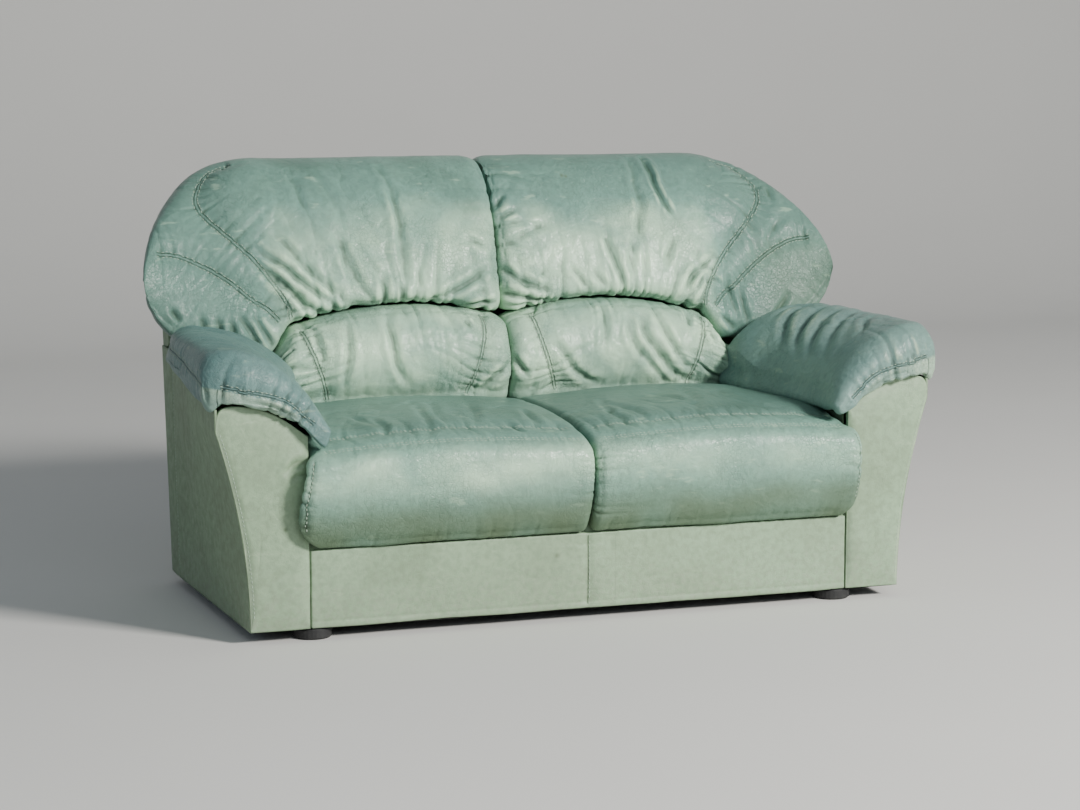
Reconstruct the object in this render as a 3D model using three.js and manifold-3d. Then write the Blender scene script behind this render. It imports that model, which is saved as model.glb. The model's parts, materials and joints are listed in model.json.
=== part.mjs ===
// A worn two-seat leather sofa: timber frame, zigzag springs, webbing, padded covers and loose-looking cushions.
// Millimetres, +Z up, the sitter faces -Y and +X is on the right of someone looking at the sofa's front.
// Every shape is drawn with y = 0 on the front face of the arms and z = 0 on the floor. The whole group is
// moved back at the end, so that the origin is under the middle of the sofa.
import * as THREE from 'three';
import Module from 'manifold-3d';
import { mergeVertices } from 'three/addons/utils/BufferGeometryUtils.js';

// ---- Driving dimensions ----
const PLACE_WIDTH = 600;          // one seat place, from the middle split to the arm
const HALF_WIDTH = 840;           // middle of the sofa to the tip of a wing
const HEIGHT = 948;               // floor to the top of the back
const FRONT_Y = -62;              // foremost point of the seat's front roll
const REAR_Y = 886;               // rearmost point of the roll over the back
const GAP = 0.3;                  // clearance between pieces that touch
const SPLIT = 2;                  // each cushion's clearance at the middle split

const FOOT_HEIGHT = 24;
const FOOT_RADIUS = 41;
const FOOT_X = 586;
const FOOT_FRONT_Y = 45;
const FOOT_REAR_Y = 596;
const SCREW_RADIUS = 4;
const SCREW_HEAD_RADIUS = 9;
const SCREW_LENGTH = 38;

const DUST_COVER = 1.2;           // thickness of the cloth under the frame
const BASE_Z = FOOT_HEIGHT + GAP + DUST_COVER + GAP;   // underside of frame and covers
const APRON_TOP = 188;
const COVER = 12;                 // padded vinyl cover on its backing, at the front
const SHELL = 4;                  // cover on its backing card, at the sides and rear
const BOARD = 18;                 // plywood thickness
const DECK_Z = 240;               // top of the seat rails
const BOARD_Y = COVER + GAP;      // front face of the boards behind the front covers
const FRAME_Y = BOARD_Y + BOARD + GAP;   // rear face of those boards, with clearance

const POST_DEPTH = 30;
const KINK_Z = 540;               // height where the back posts lean further back
const LOW_RAKE = 0.138;           // rearward lean below the kink, mm per mm of height
const HIGH_RAKE = 0.26;           // the same above it
const REAR_BASE_Y = 686;          // rear face at the underside
const TOP_RAIL_Z = 838;           // top of the back posts and rail

const ARM_REAR_X = 754;           // outer face of the arm where it runs straight up, at the rear
const PAD_FRONT_Y = -28;
const PAD_REAR_Y = 545;

// ---- Finishes ----
function finish(color, roughness, metalness = 0) {
  return new THREE.MeshStandardMaterial({ color, roughness, metalness });
}

const FINISHES = {
  cushion_leather: finish(0x83a08f, 0.45),
  pad_leather: finish(0x6d8a82, 0.42),
  panel_vinyl: finish(0xa4b09c, 0.5),
  dust_cloth: finish(0x1d1d1f, 0.95),
  frame_wood: finish(0xb9905c, 0.75),
  spring_steel: finish(0x7d8084, 0.4, 1),
  webbing: finish(0x8c8a84, 0.9),
  foot_plastic: finish(0x18181a, 0.5),
  screw_steel: finish(0xb5b8bc, 0.35, 1),
};

// ---- Shape helpers ----
const shapeOf = (points) => new THREE.Shape(points.map(([u, v]) => new THREE.Vector2(u, v)));

// The enclosed volume, times six, of an indexed surface. It is negative when the faces point inwards.
function signedVolume(points, faces) {
  const cross = new THREE.Vector3();
  let total = 0;
  for (const [a, b, c] of faces) {
    total += points[a].dot(cross.crossVectors(points[b], points[c]));
  }
  return total;
}

function surface(points, faces) {
  const inwards = signedVolume(points, faces) < 0;
  const geometry = new THREE.BufferGeometry();
  geometry.setAttribute('position', new THREE.Float32BufferAttribute(points.flatMap((p) => [p.x, p.y, p.z]), 3));
  geometry.setIndex(faces.flatMap(([a, b, c]) => (inwards ? [a, c, b] : [a, b, c])));
  geometry.computeVertexNormals();
  return geometry;
}

// A closed solid through a row of rings. outline is the flat [u, v] outline that all rings share the order of.
function loft(rings, outline) {
  const count = outline.length;
  const last = (rings.length - 1) * count;
  const faces = [];
  for (let r = 0; r + 1 < rings.length; r += 1) {
    for (let i = 0; i < count; i += 1) {
      const j = (i + 1) % count;
      const [a, b] = [r * count + i, r * count + j];
      faces.push([a, b, b + count], [a, b + count, a + count]);
    }
  }
  const contour = outline.map(([u, v]) => new THREE.Vector2(u, v));
  const clockwise = THREE.ShapeUtils.isClockWise(contour);
  for (const [a, b, c] of THREE.ShapeUtils.triangulateShape(contour, [])) {
    const cap = clockwise ? [a, b, c] : [a, c, b];
    faces.push(cap, [cap[0] + last, cap[2] + last, cap[1] + last]);
  }
  return surface(rings.flat(), faces);
}

// Sweep stations for a round end: position along the sweep, and how far the outline is drawn in there.
const END_TURNS = [0, 30, 60, 90].map((degrees) => THREE.MathUtils.degToRad(degrees));
const roundStart = (start, radius) => END_TURNS.map((turn) => ({
  w: start + radius * (1 - Math.cos(turn)),
  inset: radius * (1 - Math.sin(turn)),
}));
const roundEnd = (end, radius) => END_TURNS.map((turn) => ({
  w: end - radius * (1 - Math.cos(turn)),
  inset: radius * (1 - Math.sin(turn)),
})).reverse();
const straight = (positions) => positions.map((w) => ({ w, inset: 0 }));

// A padded body: an outline carried through stations and drawn in towards its middle by each one's inset.
// place(u, v, w) puts outline point (u, v) at sweep position w into the sofa.
function pillow(outline, stations, place) {
  const us = outline.map(([u]) => u);
  const vs = outline.map(([, v]) => v);
  const middle = [(Math.min(...us) + Math.max(...us)) / 2, (Math.min(...vs) + Math.max(...vs)) / 2];
  const half = [middle[0] - Math.min(...us), middle[1] - Math.min(...vs)];
  const rings = stations.map(({ w, inset }) => outline.map(([u, v]) => place(
    middle[0] + (u - middle[0]) * (1 - inset / half[0]),
    middle[1] + (v - middle[1]) * (1 - inset / half[1]),
    w,
  )));
  return loft(rings, outline);
}

function box([x0, x1], [y0, y1], [z0, z1]) {
  const geometry = new THREE.BoxGeometry(x1 - x0, y1 - y0, z1 - z0);
  return geometry.translate((x0 + x1) / 2, (y0 + y1) / 2, (z0 + z1) / 2);
}

// A prism with its outline in side view, as [y, z] points, running from x0 to x1.
function prismAcross(points, x0, x1) {
  const geometry = new THREE.ExtrudeGeometry(shapeOf(points), { depth: x1 - x0, bevelEnabled: false });
  const turn = new THREE.Matrix4().makeBasis(
    new THREE.Vector3(0, 1, 0),
    new THREE.Vector3(0, 0, 1),
    new THREE.Vector3(1, 0, 0),
  );
  return geometry.applyMatrix4(turn).translate(x0, 0, 0);
}

// A prism with its outline in front view, as [x, z] points, running from y0 back to y1.
function prismBackwards(points, y0, y1) {
  const geometry = new THREE.ExtrudeGeometry(shapeOf(points), { depth: y1 - y0, bevelEnabled: false });
  return geometry.rotateX(Math.PI / 2).translate(0, y1, 0);
}

// A turned piece: [radius, height] points round an upright axis.
function turned(points, sides) {
  const profile = points.map(([r, z]) => new THREE.Vector2(r, z));
  const lathe = new THREE.LatheGeometry(profile, sides).rotateX(Math.PI / 2);
  lathe.deleteAttribute('normal');
  lathe.deleteAttribute('uv');
  const merged = mergeVertices(lathe, 1e-3);
  const position = merged.getAttribute('position');
  const vertices = Array.from({ length: position.count }, (_, i) => new THREE.Vector3().fromBufferAttribute(position, i));
  const index = Array.from(merged.index.array);
  const faces = [];
  for (let i = 0; i < index.length; i += 3) {
    const face = index.slice(i, i + 3);
    if (new Set(face).size === 3) faces.push(face);
  }
  return surface(vertices, faces);
}

// ---- Joining and cutting ----
const wasm = await Module();
wasm.setup();

function toSolid(geometry) {
  const bare = geometry.clone();
  bare.deleteAttribute('normal');
  bare.deleteAttribute('uv');
  const merged = mergeVertices(bare, 1e-4);
  return new wasm.Manifold(new wasm.Mesh({
    numProp: 3,
    vertProperties: new Float32Array(merged.getAttribute('position').array),
    triVerts: new Uint32Array(merged.index.array),
  }));
}

function cut(body, tool) {
  const mesh = toSolid(body).subtract(toSolid(tool)).getMesh();
  const geometry = new THREE.BufferGeometry();
  geometry.setAttribute('position', new THREE.Float32BufferAttribute(mesh.vertProperties, 3));
  geometry.setIndex(Array.from(mesh.triVerts));
  geometry.computeVertexNormals();
  return geometry;
}

// ---- Lines that several pieces follow ----
// Rear face of the sofa at a height.
function rearY(z) {
  const low = Math.min(z, KINK_Z) - BASE_Z;
  const high = Math.max(z - KINK_Z, 0);
  return REAR_BASE_Y + LOW_RAKE * low + HIGH_RAKE * high;
}

const postRear = (z) => rearY(z) - SHELL * 2;
const postFront = (z) => postRear(z) - POST_DEPTH;
const railFront = (z) => postFront(z) - GAP - BOARD;

// Outer edge of the arm in front view: upright at the foot and flaring out to the pad.
const FLARE_TOP_Z = 440;
function flareX(z) {
  const rise = Math.min((z - BASE_Z) / (FLARE_TOP_Z - BASE_Z), 1);
  return 724 + 66 * rise * rise;
}

// Front-view outline of the arm, drawn in by inset on every edge but the bottom.
function armOutline(inset) {
  const levels = [BASE_Z, 110, 190, 265, 335, 392, FLARE_TOP_Z];
  const top = [[785, 474], [768, 488], [732, 488], [685, 476], [647, 456], [604, 424]];
  const innerX = PLACE_WIDTH + GAP + inset;
  return [
    ...levels.map((z) => [flareX(z) - inset, z]),
    ...top.map(([x, z]) => [Math.max(x - inset, innerX), z - inset]),
    [innerX, BASE_Z],
  ];
}

// The arched line where the back cushion sits on the lumbar cushion.
const ARCH = { top: 622, drop: 26, middle: 235, reach: 205 };
const archZ = (x) => ARCH.top - ARCH.drop * ((x - ARCH.middle) / ARCH.reach) ** 2;

// The back cushion and its wing in front view: the top runs level, then both edges round off to the wing's tip.
const WING = { tipZ: 690, topStart: 520, topRise: HEIGHT - 690, bottomStart: 560, bottomDrop: 162 };
const TIP_X = HALF_WIDTH + 2;
const share = (x, from) => THREE.MathUtils.clamp((x - from) / (TIP_X - from), 0, 1);
const backTop = (x) => WING.tipZ + WING.topRise * Math.sqrt(1 - share(x, WING.topStart) ** 2);

function backBottom(x) {
  const wing = WING.tipZ - WING.bottomDrop * Math.sqrt(1 - share(x, WING.bottomStart) ** 3);
  const blend = THREE.MathUtils.smoothstep(x, 490, WING.bottomStart);
  return THREE.MathUtils.lerp(archZ(x) + 4, wing, blend);
}

const lumbarTop = (x) => backBottom(x) - 4;

// Height in the back cushion at x of a point that sits at height v in its middle section.
const BACK_LOW_V = 626;
const ROLL_UNDER_V = 857;
function backZ(v, x) {
  const whole = (v - BACK_LOW_V) / (HEIGHT - BACK_LOW_V);
  const below = THREE.MathUtils.clamp((v - BACK_LOW_V) / (850 - BACK_LOW_V), 0, 1);
  const shifted = v + (backBottom(x) - BACK_LOW_V) * (1 - below) + (backTop(x) - HEIGHT) * below;
  const scaled = THREE.MathUtils.lerp(backBottom(x), backTop(x), whole);
  return THREE.MathUtils.lerp(shifted, scaled, THREE.MathUtils.smoothstep(x, 600, 700));
}

// Top edge of the hard parts of the back, just under the roll of the back cushion.
const hardTop = (x) => (Math.abs(x) <= PLACE_WIDTH ? TOP_RAIL_Z : Math.min(TOP_RAIL_Z, backZ(ROLL_UNDER_V, Math.abs(x)) - 14));

// ---- Cushions ----
function seatCushion(side) {
  const outline = [
    [8, 197], [-10, 193], [-36, 224], [-53, 265], [-61, 310], [FRONT_Y, 345], [-52, 384], [-22, 405],
    [30, 418], [100, 428], [200, 434], [330, 434], [430, 430], [486, 420], [506, 398], [508, 340],
    [504, 287], [482, 271], [300, 269], [120, 269], [34, 269], [13, 262], [8, 240], [7, 215],
  ];
  const [start, end] = [SPLIT, PLACE_WIDTH - 3];
  const sag = 16;
  const place = (u, v, w) => {
    const edge = (2 * w - start - end) / (end - start);
    const drop = v > 380 ? sag * edge * edge : 0;
    const y = v < DECK_Z + 20 ? Math.min(u, BOARD_Y - 4) : u;
    return new THREE.Vector3(side * w, y, v - drop);
  };
  const stations = [...roundStart(start, 24), ...straight([130, 300, 470]), ...roundEnd(end, 24)];
  return pillow(outline, stations, place);
}

function lumbarCushion(side) {
  const outline = [
    [540, 394], [518, 404], [508, 430], [494, 458], [486, 495], [492, 535], [514, 575], [550, 606],
    [592, 620], [640, 618], [684, 600], [696, 565], [680, 480], [668, 420], [650, 396], [600, 393],
  ];
  const place = (u, v, w) => {
    const upper = THREE.MathUtils.clamp((v - 420) / 200, 0, 1);
    return new THREE.Vector3(side * w, u, v - (ARCH.top - lumbarTop(w)) * upper);
  };
  const stations = [...roundStart(SPLIT, 24), ...straight([110, 235, 360, 460]), ...roundEnd(552, 34)];
  return pillow(outline, stations, place);
}

function backCushion(side) {
  const outline = [
    [600, 627], [572, 632], [560, 655], [574, 700], [598, 765], [634, 832], [672, 880], [715, 918],
    [760, 940], [805, HEIGHT], [850, 940], [878, 918], [REAR_Y, 890], [874, 866], [850, ROLL_UNDER_V], [800, ROLL_UNDER_V],
    [768, 851], [760, 825], [745, 760], [728, 690], [716, 645], [700, 630], [650, BACK_LOW_V],
  ];
  const tipY = 580;
  const place = (u, v, w) => {
    const depth = (1 - THREE.MathUtils.clamp((w - PLACE_WIDTH) / 245, 0, 1) ** 2) ** 0.75;
    return new THREE.Vector3(side * w, tipY + (u - tipY) * depth, backZ(v, w));
  };
  const wingStations = [120, 235, 350, 450, 500, 530, 560, 600, 640, 680, 720, 755, 785, 810, 828, HALF_WIDTH];
  return pillow(outline, [...roundStart(SPLIT, 24), ...straight(wingStations)], place);
}

function armPad(side) {
  const outline = [
    [583, 424], [612, 440], [645, 467], [685, 488], [732, 500], [775, 501], [798, 487], [811, 505],
    [815, 545], [809, 580], [790, 599], [755, 604], [715, 596], [675, 576], [640, 547], [608, 508], [584, 466], [572, 436],
  ];
  const place = (u, v, w) => new THREE.Vector3(side * u, w, v);
  const stations = [...roundStart(PAD_FRONT_Y, 28), ...straight([150, 330]), ...roundEnd(PAD_REAR_Y, 28)];
  return pillow(outline, stations, place);
}

// ---- Covers ----
const armFrontPanel = (side) => prismBackwards(armOutline(0).map(([x, z]) => [side * x, z]), 0, COVER);

// The side of the arm follows the flare at the front and turns upright at the rear seam.
const seamY = (z) => 597 + 0.083 * (z - BASE_Z);
const SIDE_TOP = { front: 480, rear: 530 };

function armOuterPanel(side) {
  const levels = [0, 0.2, 0.34, 0.46, 0.56, 0.65, 0.73, 0.8, 0.86, 0.92, 1];
  const rings = [0, 0.1, 0.2, 0.3, 0.4, 0.5, 0.6, 0.7, 0.8, 0.89, 0.93, 0.97, 1].map((along) => {
    const top = THREE.MathUtils.lerp(SIDE_TOP.front, SIDE_TOP.rear, THREE.MathUtils.smoothstep(along, 0.9, 1));
    const wall = levels.map((level) => {
      const z = THREE.MathUtils.lerp(BASE_Z, top, level);
      return [
        THREE.MathUtils.lerp(flareX(z), ARM_REAR_X, along),
        THREE.MathUtils.lerp(BOARD_Y, seamY(z), along),
        z,
      ];
    });
    const outer = wall.map(([x, y, z]) => new THREE.Vector3(side * x, y, z));
    const inner = wall.map(([x, y, z]) => new THREE.Vector3(side * (x - SHELL), y, z)).reverse();
    return [...outer, ...inner];
  });
  const outline = [...levels.map((level) => [1, level]), ...[...levels].reverse().map((level) => [0, level])];
  return loft(rings, outline);
}

const armInnerPanel = (side) => box(
  side > 0 ? [600 + GAP, 600 + GAP + SHELL] : [-600 - GAP - SHELL, -600 - GAP],
  [FRAME_Y, 587],
  [DECK_Z + 4, 408],
);

function backSidePanel(side) {
  const rings = [BASE_Z, 280, SIDE_TOP.rear].map((z) => {
    const [front, rear] = [seamY(z) + GAP, rearY(z)];
    return [[0, front], [0, rear], [-SHELL, rear], [-SHELL, front]]
      .map(([x, y]) => new THREE.Vector3(side * (ARM_REAR_X + x), y, z));
  });
  return loft(rings, [[0, 0], [0, 1], [-1, 1], [-1, 0]]);
}

function backOuterPanel() {
  const inside = ARM_REAR_X - SHELL - GAP;
  const half = [0, 200, 400, PLACE_WIDTH, 650, 700, inside];
  const across = [...half.slice(1).reverse().map((x) => -x), ...half];
  const rings = across.map((x) => {
    const heights = [BASE_Z, KINK_Z, hardTop(x)];
    const outer = heights.map((z) => new THREE.Vector3(x, rearY(z), z));
    const inner = heights.map((z) => new THREE.Vector3(x, rearY(z) - SHELL, z)).reverse();
    return [...outer, ...inner];
  });
  return loft(rings, [[1, 0], [1, 1], [1, 2], [0, 2], [0, 1], [0, 0]]);
}

const apron = () => box([GAP - PLACE_WIDTH, PLACE_WIDTH - GAP], [0, COVER], [BASE_Z, APRON_TOP]);

const FOOT_PLACES = [
  ['front_left', -FOOT_X, FOOT_FRONT_Y],
  ['front_right', FOOT_X, FOOT_FRONT_Y],
  ['rear_left', -FOOT_X, FOOT_REAR_Y],
  ['rear_right', FOOT_X, FOOT_REAR_Y],
];

function dustCover() {
  const [x, front, rear] = [716, 5, REAR_BASE_Y - 6];
  const sheet = shapeOf([[-x, front], [x, front], [x, rear], [-x, rear]]);
  for (const [, footX, footY] of FOOT_PLACES) {
    const hole = new THREE.Path();
    hole.absarc(footX, footY, SCREW_RADIUS + 1, 0, Math.PI * 2, true);
    sheet.holes.push(hole);
  }
  const geometry = new THREE.ExtrudeGeometry(sheet, { depth: DUST_COVER, bevelEnabled: false, curveSegments: 5 });
  return geometry.translate(0, 0, FOOT_HEIGHT + GAP);
}

// ---- Timber frame ----
const frontRail = () => box([-605, 605], [BOARD_Y, BOARD_Y + BOARD], [BASE_Z, DECK_Z]);
const REAR_RAIL_Y = 628;
const rearRail = () => box([-602.5, 602.5], [REAR_RAIL_Y, REAR_RAIL_Y + BOARD], [BASE_Z, DECK_Z]);
const sideRail = (side) => box(
  side > 0 ? [603, 603 + BOARD] : [-603 - BOARD, -603],
  [FRAME_Y, REAR_RAIL_Y + BOARD],
  [BASE_Z, DECK_Z],
);
const centreRail = () => box([-BOARD / 2, BOARD / 2], [FRAME_Y, REAR_RAIL_Y - GAP], [120, 210]);
const armFrontBoard = (side) => prismBackwards(
  armOutline(SHELL * 2.5).map(([x, z]) => [side * x, z]),
  BOARD_Y,
  BOARD_Y + BOARD,
);
const armTopRail = (side) => prismBackwards(
  [[655, 440], [742, 466], [742, 484], [650, 457]].map(([x, z]) => [side * x, z]),
  FRAME_Y,
  587,
);
const armRearPost = (side) => box(side > 0 ? [690, 735] : [-735, -690], [588, 588 + POST_DEPTH], [BASE_Z, 468]);

function backPost(middleX) {
  const heights = [BASE_Z, KINK_Z, TOP_RAIL_Z];
  const outline = [
    ...heights.map((z) => [postFront(z), z]),
    ...heights.map((z) => [postRear(z), z]).reverse(),
  ];
  return prismAcross(outline, middleX - 27, middleX + 27);
}

// A board across the front of the back posts, between two heights on the same side of the kink.
function backRail(low, high) {
  const outline = [
    [railFront(low), low],
    [railFront(high), high],
    [postFront(high) - GAP, high],
    [postFront(low) - GAP, low],
  ];
  return prismAcross(outline, -PLACE_WIDTH, PLACE_WIDTH);
}

// The board that carries the wing, behind it and in front of the outer cover.
function wingBoard(side) {
  const stations = [[604, 550], [650, 550], [700, 555], [725, 566], [744, 580]];
  const rings = stations.map(([x, low]) => {
    const rear = (z) => rearY(z) - SHELL * 2;
    const high = hardTop(x) - 6;
    return [[rear(low), low], [rear(high), high], [rear(high) - BOARD, high], [rear(low) - BOARD, low]]
      .map(([y, z]) => new THREE.Vector3(side * x, y, z));
  });
  return loft(rings, [[1, 0], [1, 1], [0, 1], [0, 0]]);
}

function cornerBlock(footX, footY) {
  const side = Math.sign(footX);
  const across = side > 0 ? [545, 602.5] : [-602.5, -545];
  const along = footY === FOOT_FRONT_Y ? [FRAME_Y, 95] : [562, REAR_RAIL_Y - GAP];
  const hole = turned([[0, 0], [SCREW_RADIUS + GAP, 0], [SCREW_RADIUS + GAP, 100], [0, 100]], 12);
  return cut(box(across, along, [BASE_Z, 80]), hole.translate(footX, footY, BASE_Z - 10));
}

// ---- Springs and webbing ----
const LUMBAR_RAIL = [420, 480];
const TOP_RAIL = [TOP_RAIL_Z - 70, TOP_RAIL_Z];

// A strap across the gap between the lumbar rail and the top rail, on their front faces.
function strap(middleX) {
  const [low, high] = [LUMBAR_RAIL[1], TOP_RAIL[0]];
  const slope = (railFront(high) - railFront(low)) / (high - low);
  const faceY = (z) => railFront(low) - GAP + slope * (z - low);
  const [bottom, top] = [low - 50, high + 50];
  const thickness = 2;
  const outline = [
    [faceY(bottom), bottom],
    [faceY(top), top],
    [faceY(top) - thickness, top],
    [faceY(bottom) - thickness, bottom],
  ];
  return prismAcross(outline, middleX - 25, middleX + 25);
}

// A flat wire that runs back and forth in loops from the front rail to the rear rail and arches upwards.
function zigzagSpring(middleX) {
  const [bends, reach, wire, arch] = [40, 25, 2, 20];
  const [front, rear] = [20, REAR_RAIL_Y + 10];
  const path = Array.from({ length: bends }, (_, i) => {
    const along = i / (bends - 1);
    const swing = i % 4 < 2 ? reach : -reach;
    return new THREE.Vector3(
      middleX + swing,
      THREE.MathUtils.lerp(front, rear, along),
      DECK_Z + GAP + wire + arch * Math.sin(Math.PI * along),
    );
  });
  const across = (from, to) => new THREE.Vector3(from.y - to.y, to.x - from.x, 0).normalize();
  const rings = path.map((point, i) => {
    const before = across(path[Math.max(i - 1, 0)], path[Math.max(i, 1)]);
    const after = across(path[Math.min(i, bends - 2)], path[Math.min(i + 1, bends - 1)]);
    const mitre = before.clone().add(after).normalize();
    mitre.multiplyScalar(wire / mitre.dot(before));
    const corners = [[1, 1], [-1, 1], [-1, -1], [1, -1]];
    return corners.map(([u, v]) => point.clone().addScaledVector(mitre, u).add(new THREE.Vector3(0, 0, v * wire)));
  });
  return loft(rings, [[1, 1], [-1, 1], [-1, -1], [1, -1]]);
}

// ---- Feet ----
const RECESS_DEPTH = 8;
const foot = () => turned([
  [SCREW_HEAD_RADIUS + 1, 0], [FOOT_RADIUS - 4, 0], [FOOT_RADIUS, 4], [FOOT_RADIUS, 20], [FOOT_RADIUS - 3, FOOT_HEIGHT],
  [SCREW_RADIUS + GAP, FOOT_HEIGHT], [SCREW_RADIUS + GAP, RECESS_DEPTH], [SCREW_HEAD_RADIUS + 1, RECESS_DEPTH],
  [SCREW_HEAD_RADIUS + 1, 0],
], 28);

const footScrew = () => turned([
  [0, 3], [SCREW_HEAD_RADIUS, 3], [SCREW_HEAD_RADIUS, RECESS_DEPTH - GAP], [SCREW_RADIUS, RECESS_DEPTH - GAP],
  [SCREW_RADIUS, RECESS_DEPTH + SCREW_LENGTH - 6], [0, RECESS_DEPTH + SCREW_LENGTH],
], 12);

// ---- Assembly ----
const sofa = new THREE.Group();
const pieces = new THREE.Group();
pieces.position.y = -(FRONT_Y + REAR_Y) / 2;
sofa.add(pieces);

function add(name, geometry, slot) {
  const mesh = new THREE.Mesh(geometry, FINISHES[slot]);
  mesh.name = name;
  pieces.add(mesh);
}

const PAIRS = [
  ['seat_cushion', seatCushion, 'cushion_leather'],
  ['lumbar_cushion', lumbarCushion, 'cushion_leather'],
  ['back_cushion', backCushion, 'cushion_leather'],
  ['arm_pad', armPad, 'pad_leather'],
  ['arm_front_panel', armFrontPanel, 'panel_vinyl'],
  ['arm_outer_panel', armOuterPanel, 'panel_vinyl'],
  ['arm_inner_panel', armInnerPanel, 'panel_vinyl'],
  ['back_side_panel', backSidePanel, 'panel_vinyl'],
  ['side_rail', sideRail, 'frame_wood'],
  ['arm_front_board', armFrontBoard, 'frame_wood'],
  ['arm_top_rail', armTopRail, 'frame_wood'],
  ['arm_rear_post', armRearPost, 'frame_wood'],
  ['wing_board', wingBoard, 'frame_wood'],
];
for (const [name, build, slot] of PAIRS) {
  add(`${name}_left`, build(-1), slot);
  add(`${name}_right`, build(1), slot);
}

add('front_apron', apron(), 'panel_vinyl');
add('back_outer_panel', backOuterPanel(), 'panel_vinyl');
add('dust_cover', dustCover(), 'dust_cloth');
add('front_rail', frontRail(), 'frame_wood');
add('rear_rail', rearRail(), 'frame_wood');
add('centre_rail', centreRail(), 'frame_wood');
add('lumbar_rail', backRail(...LUMBAR_RAIL), 'frame_wood');
add('back_top_rail', backRail(...TOP_RAIL), 'frame_wood');
[['left', -572], ['centre', 0], ['right', 572]].forEach(([place, x]) => {
  add(`back_post_${place}`, backPost(x), 'frame_wood');
});

[-500, -300, -100, 100, 300, 500].forEach((x, i) => add(`seat_spring_${i + 1}`, zigzagSpring(x), 'spring_steel'));
[-430, -160, 160, 430].forEach((x, i) => add(`back_strap_${i + 1}`, strap(x), 'webbing'));

for (const [place, x, y] of FOOT_PLACES) {
  add(`corner_block_${place}`, cornerBlock(x, y), 'frame_wood');
  add(`foot_${place}`, foot().translate(x, y, 0), 'foot_plastic');
  add(`foot_screw_${place}`, footScrew().translate(x, y, 0), 'screw_steel');
}

export default sofa;
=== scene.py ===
"""A worn two-seat leather sofa: cushions, arm pads and covers built round its timber frame.

Shapes are worked out in millimetres, with y = 0 on the front face of the arms and z = 0 on the floor, and
turned into the frame's metres when a mesh is made. A padded piece is a closed outline swept through rows. Its
seams, gathers and creases then move each point along the surface's normal.
"""
import itertools
import json
import math

import bmesh
import bpy
import numpy as np
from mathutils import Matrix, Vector


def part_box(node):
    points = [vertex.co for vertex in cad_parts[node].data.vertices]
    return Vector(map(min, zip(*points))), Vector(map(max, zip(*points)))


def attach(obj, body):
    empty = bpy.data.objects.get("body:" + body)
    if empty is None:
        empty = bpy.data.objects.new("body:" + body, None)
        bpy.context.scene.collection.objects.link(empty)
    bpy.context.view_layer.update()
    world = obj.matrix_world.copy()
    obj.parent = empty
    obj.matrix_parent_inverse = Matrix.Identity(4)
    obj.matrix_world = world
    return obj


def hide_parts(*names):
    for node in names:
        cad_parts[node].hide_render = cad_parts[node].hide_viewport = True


bl_info = {
    "name": "Worn Leather Sofa",
    "version": (1, 0, 0),
    "blender": (4, 5, 0),
    "location": "3D View > Sidebar > Sofa",
    "description": "Builds the cushions, arm pads, covers and stage of a worn two-seat leather sofa",
    "category": "Object",
}

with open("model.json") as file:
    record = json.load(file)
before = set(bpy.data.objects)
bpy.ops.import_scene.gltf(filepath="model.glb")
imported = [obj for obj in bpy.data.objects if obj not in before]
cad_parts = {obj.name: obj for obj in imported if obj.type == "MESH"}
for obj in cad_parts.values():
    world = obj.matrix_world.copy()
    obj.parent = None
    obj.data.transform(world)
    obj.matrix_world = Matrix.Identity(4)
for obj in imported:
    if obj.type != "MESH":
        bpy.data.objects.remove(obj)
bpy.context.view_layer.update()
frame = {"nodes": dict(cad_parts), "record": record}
MM = 0.001
ARM_FRONT_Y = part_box("front_apron")[0][1]


def node_mm(name):
    """A node's lowest and highest corners, in millimetres from the front face of the arms."""
    low, high = (np.array(corner, float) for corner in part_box(name))
    shift = np.array([0.0, ARM_FRONT_Y, 0.0])
    return (low - shift) / MM, (high - shift) / MM


BACK_LOW, BACK_HIGH = node_mm("back_cushion_right")
SEAT_LOW, SEAT_HIGH = node_mm("seat_cushion_right")
LUMBAR_LOW, LUMBAR_HIGH = node_mm("lumbar_cushion_right")
PAD_LOW, PAD_HIGH = node_mm("arm_pad_right")
ARM_LOW, ARM_HIGH = node_mm("arm_front_panel_right")
STRIP_LOW, STRIP_HIGH = node_mm("back_side_panel_right")
APRON_LOW, APRON_HIGH = node_mm("front_apron")
REAR_HIGH = node_mm("back_outer_panel")[1]

SIDES = (("left", -1), ("right", 1))
BASE_Z = ARM_LOW[2]
SHELL = STRIP_HIGH[0] - STRIP_LOW[0]


# ---- Sizes and colours that a user would change ----
class SofaSizes(bpy.types.PropertyGroup):
    """How deep the folds and seams are, and where the camera stands."""

    fold_depth: bpy.props.FloatProperty(
        name="Fold depth", description="Multiplies the depth of every crease and gather",
        default=1.0, min=0.0, max=2.0)
    slack: bpy.props.FloatProperty(
        name="Slack", description="Height of the broad swells of loose leather",
        default=0.004, min=0.0, max=0.02, unit="LENGTH")
    stitch_length: bpy.props.FloatProperty(
        name="Stitch length", description="Length of one stitch on the seams",
        default=0.006, min=0.002, max=0.02, unit="LENGTH")
    camera_distance: bpy.props.FloatProperty(
        name="Camera distance", description="From the camera to the middle of the sofa's front",
        default=5.34, min=1.0, max=20.0, unit="LENGTH")


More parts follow.
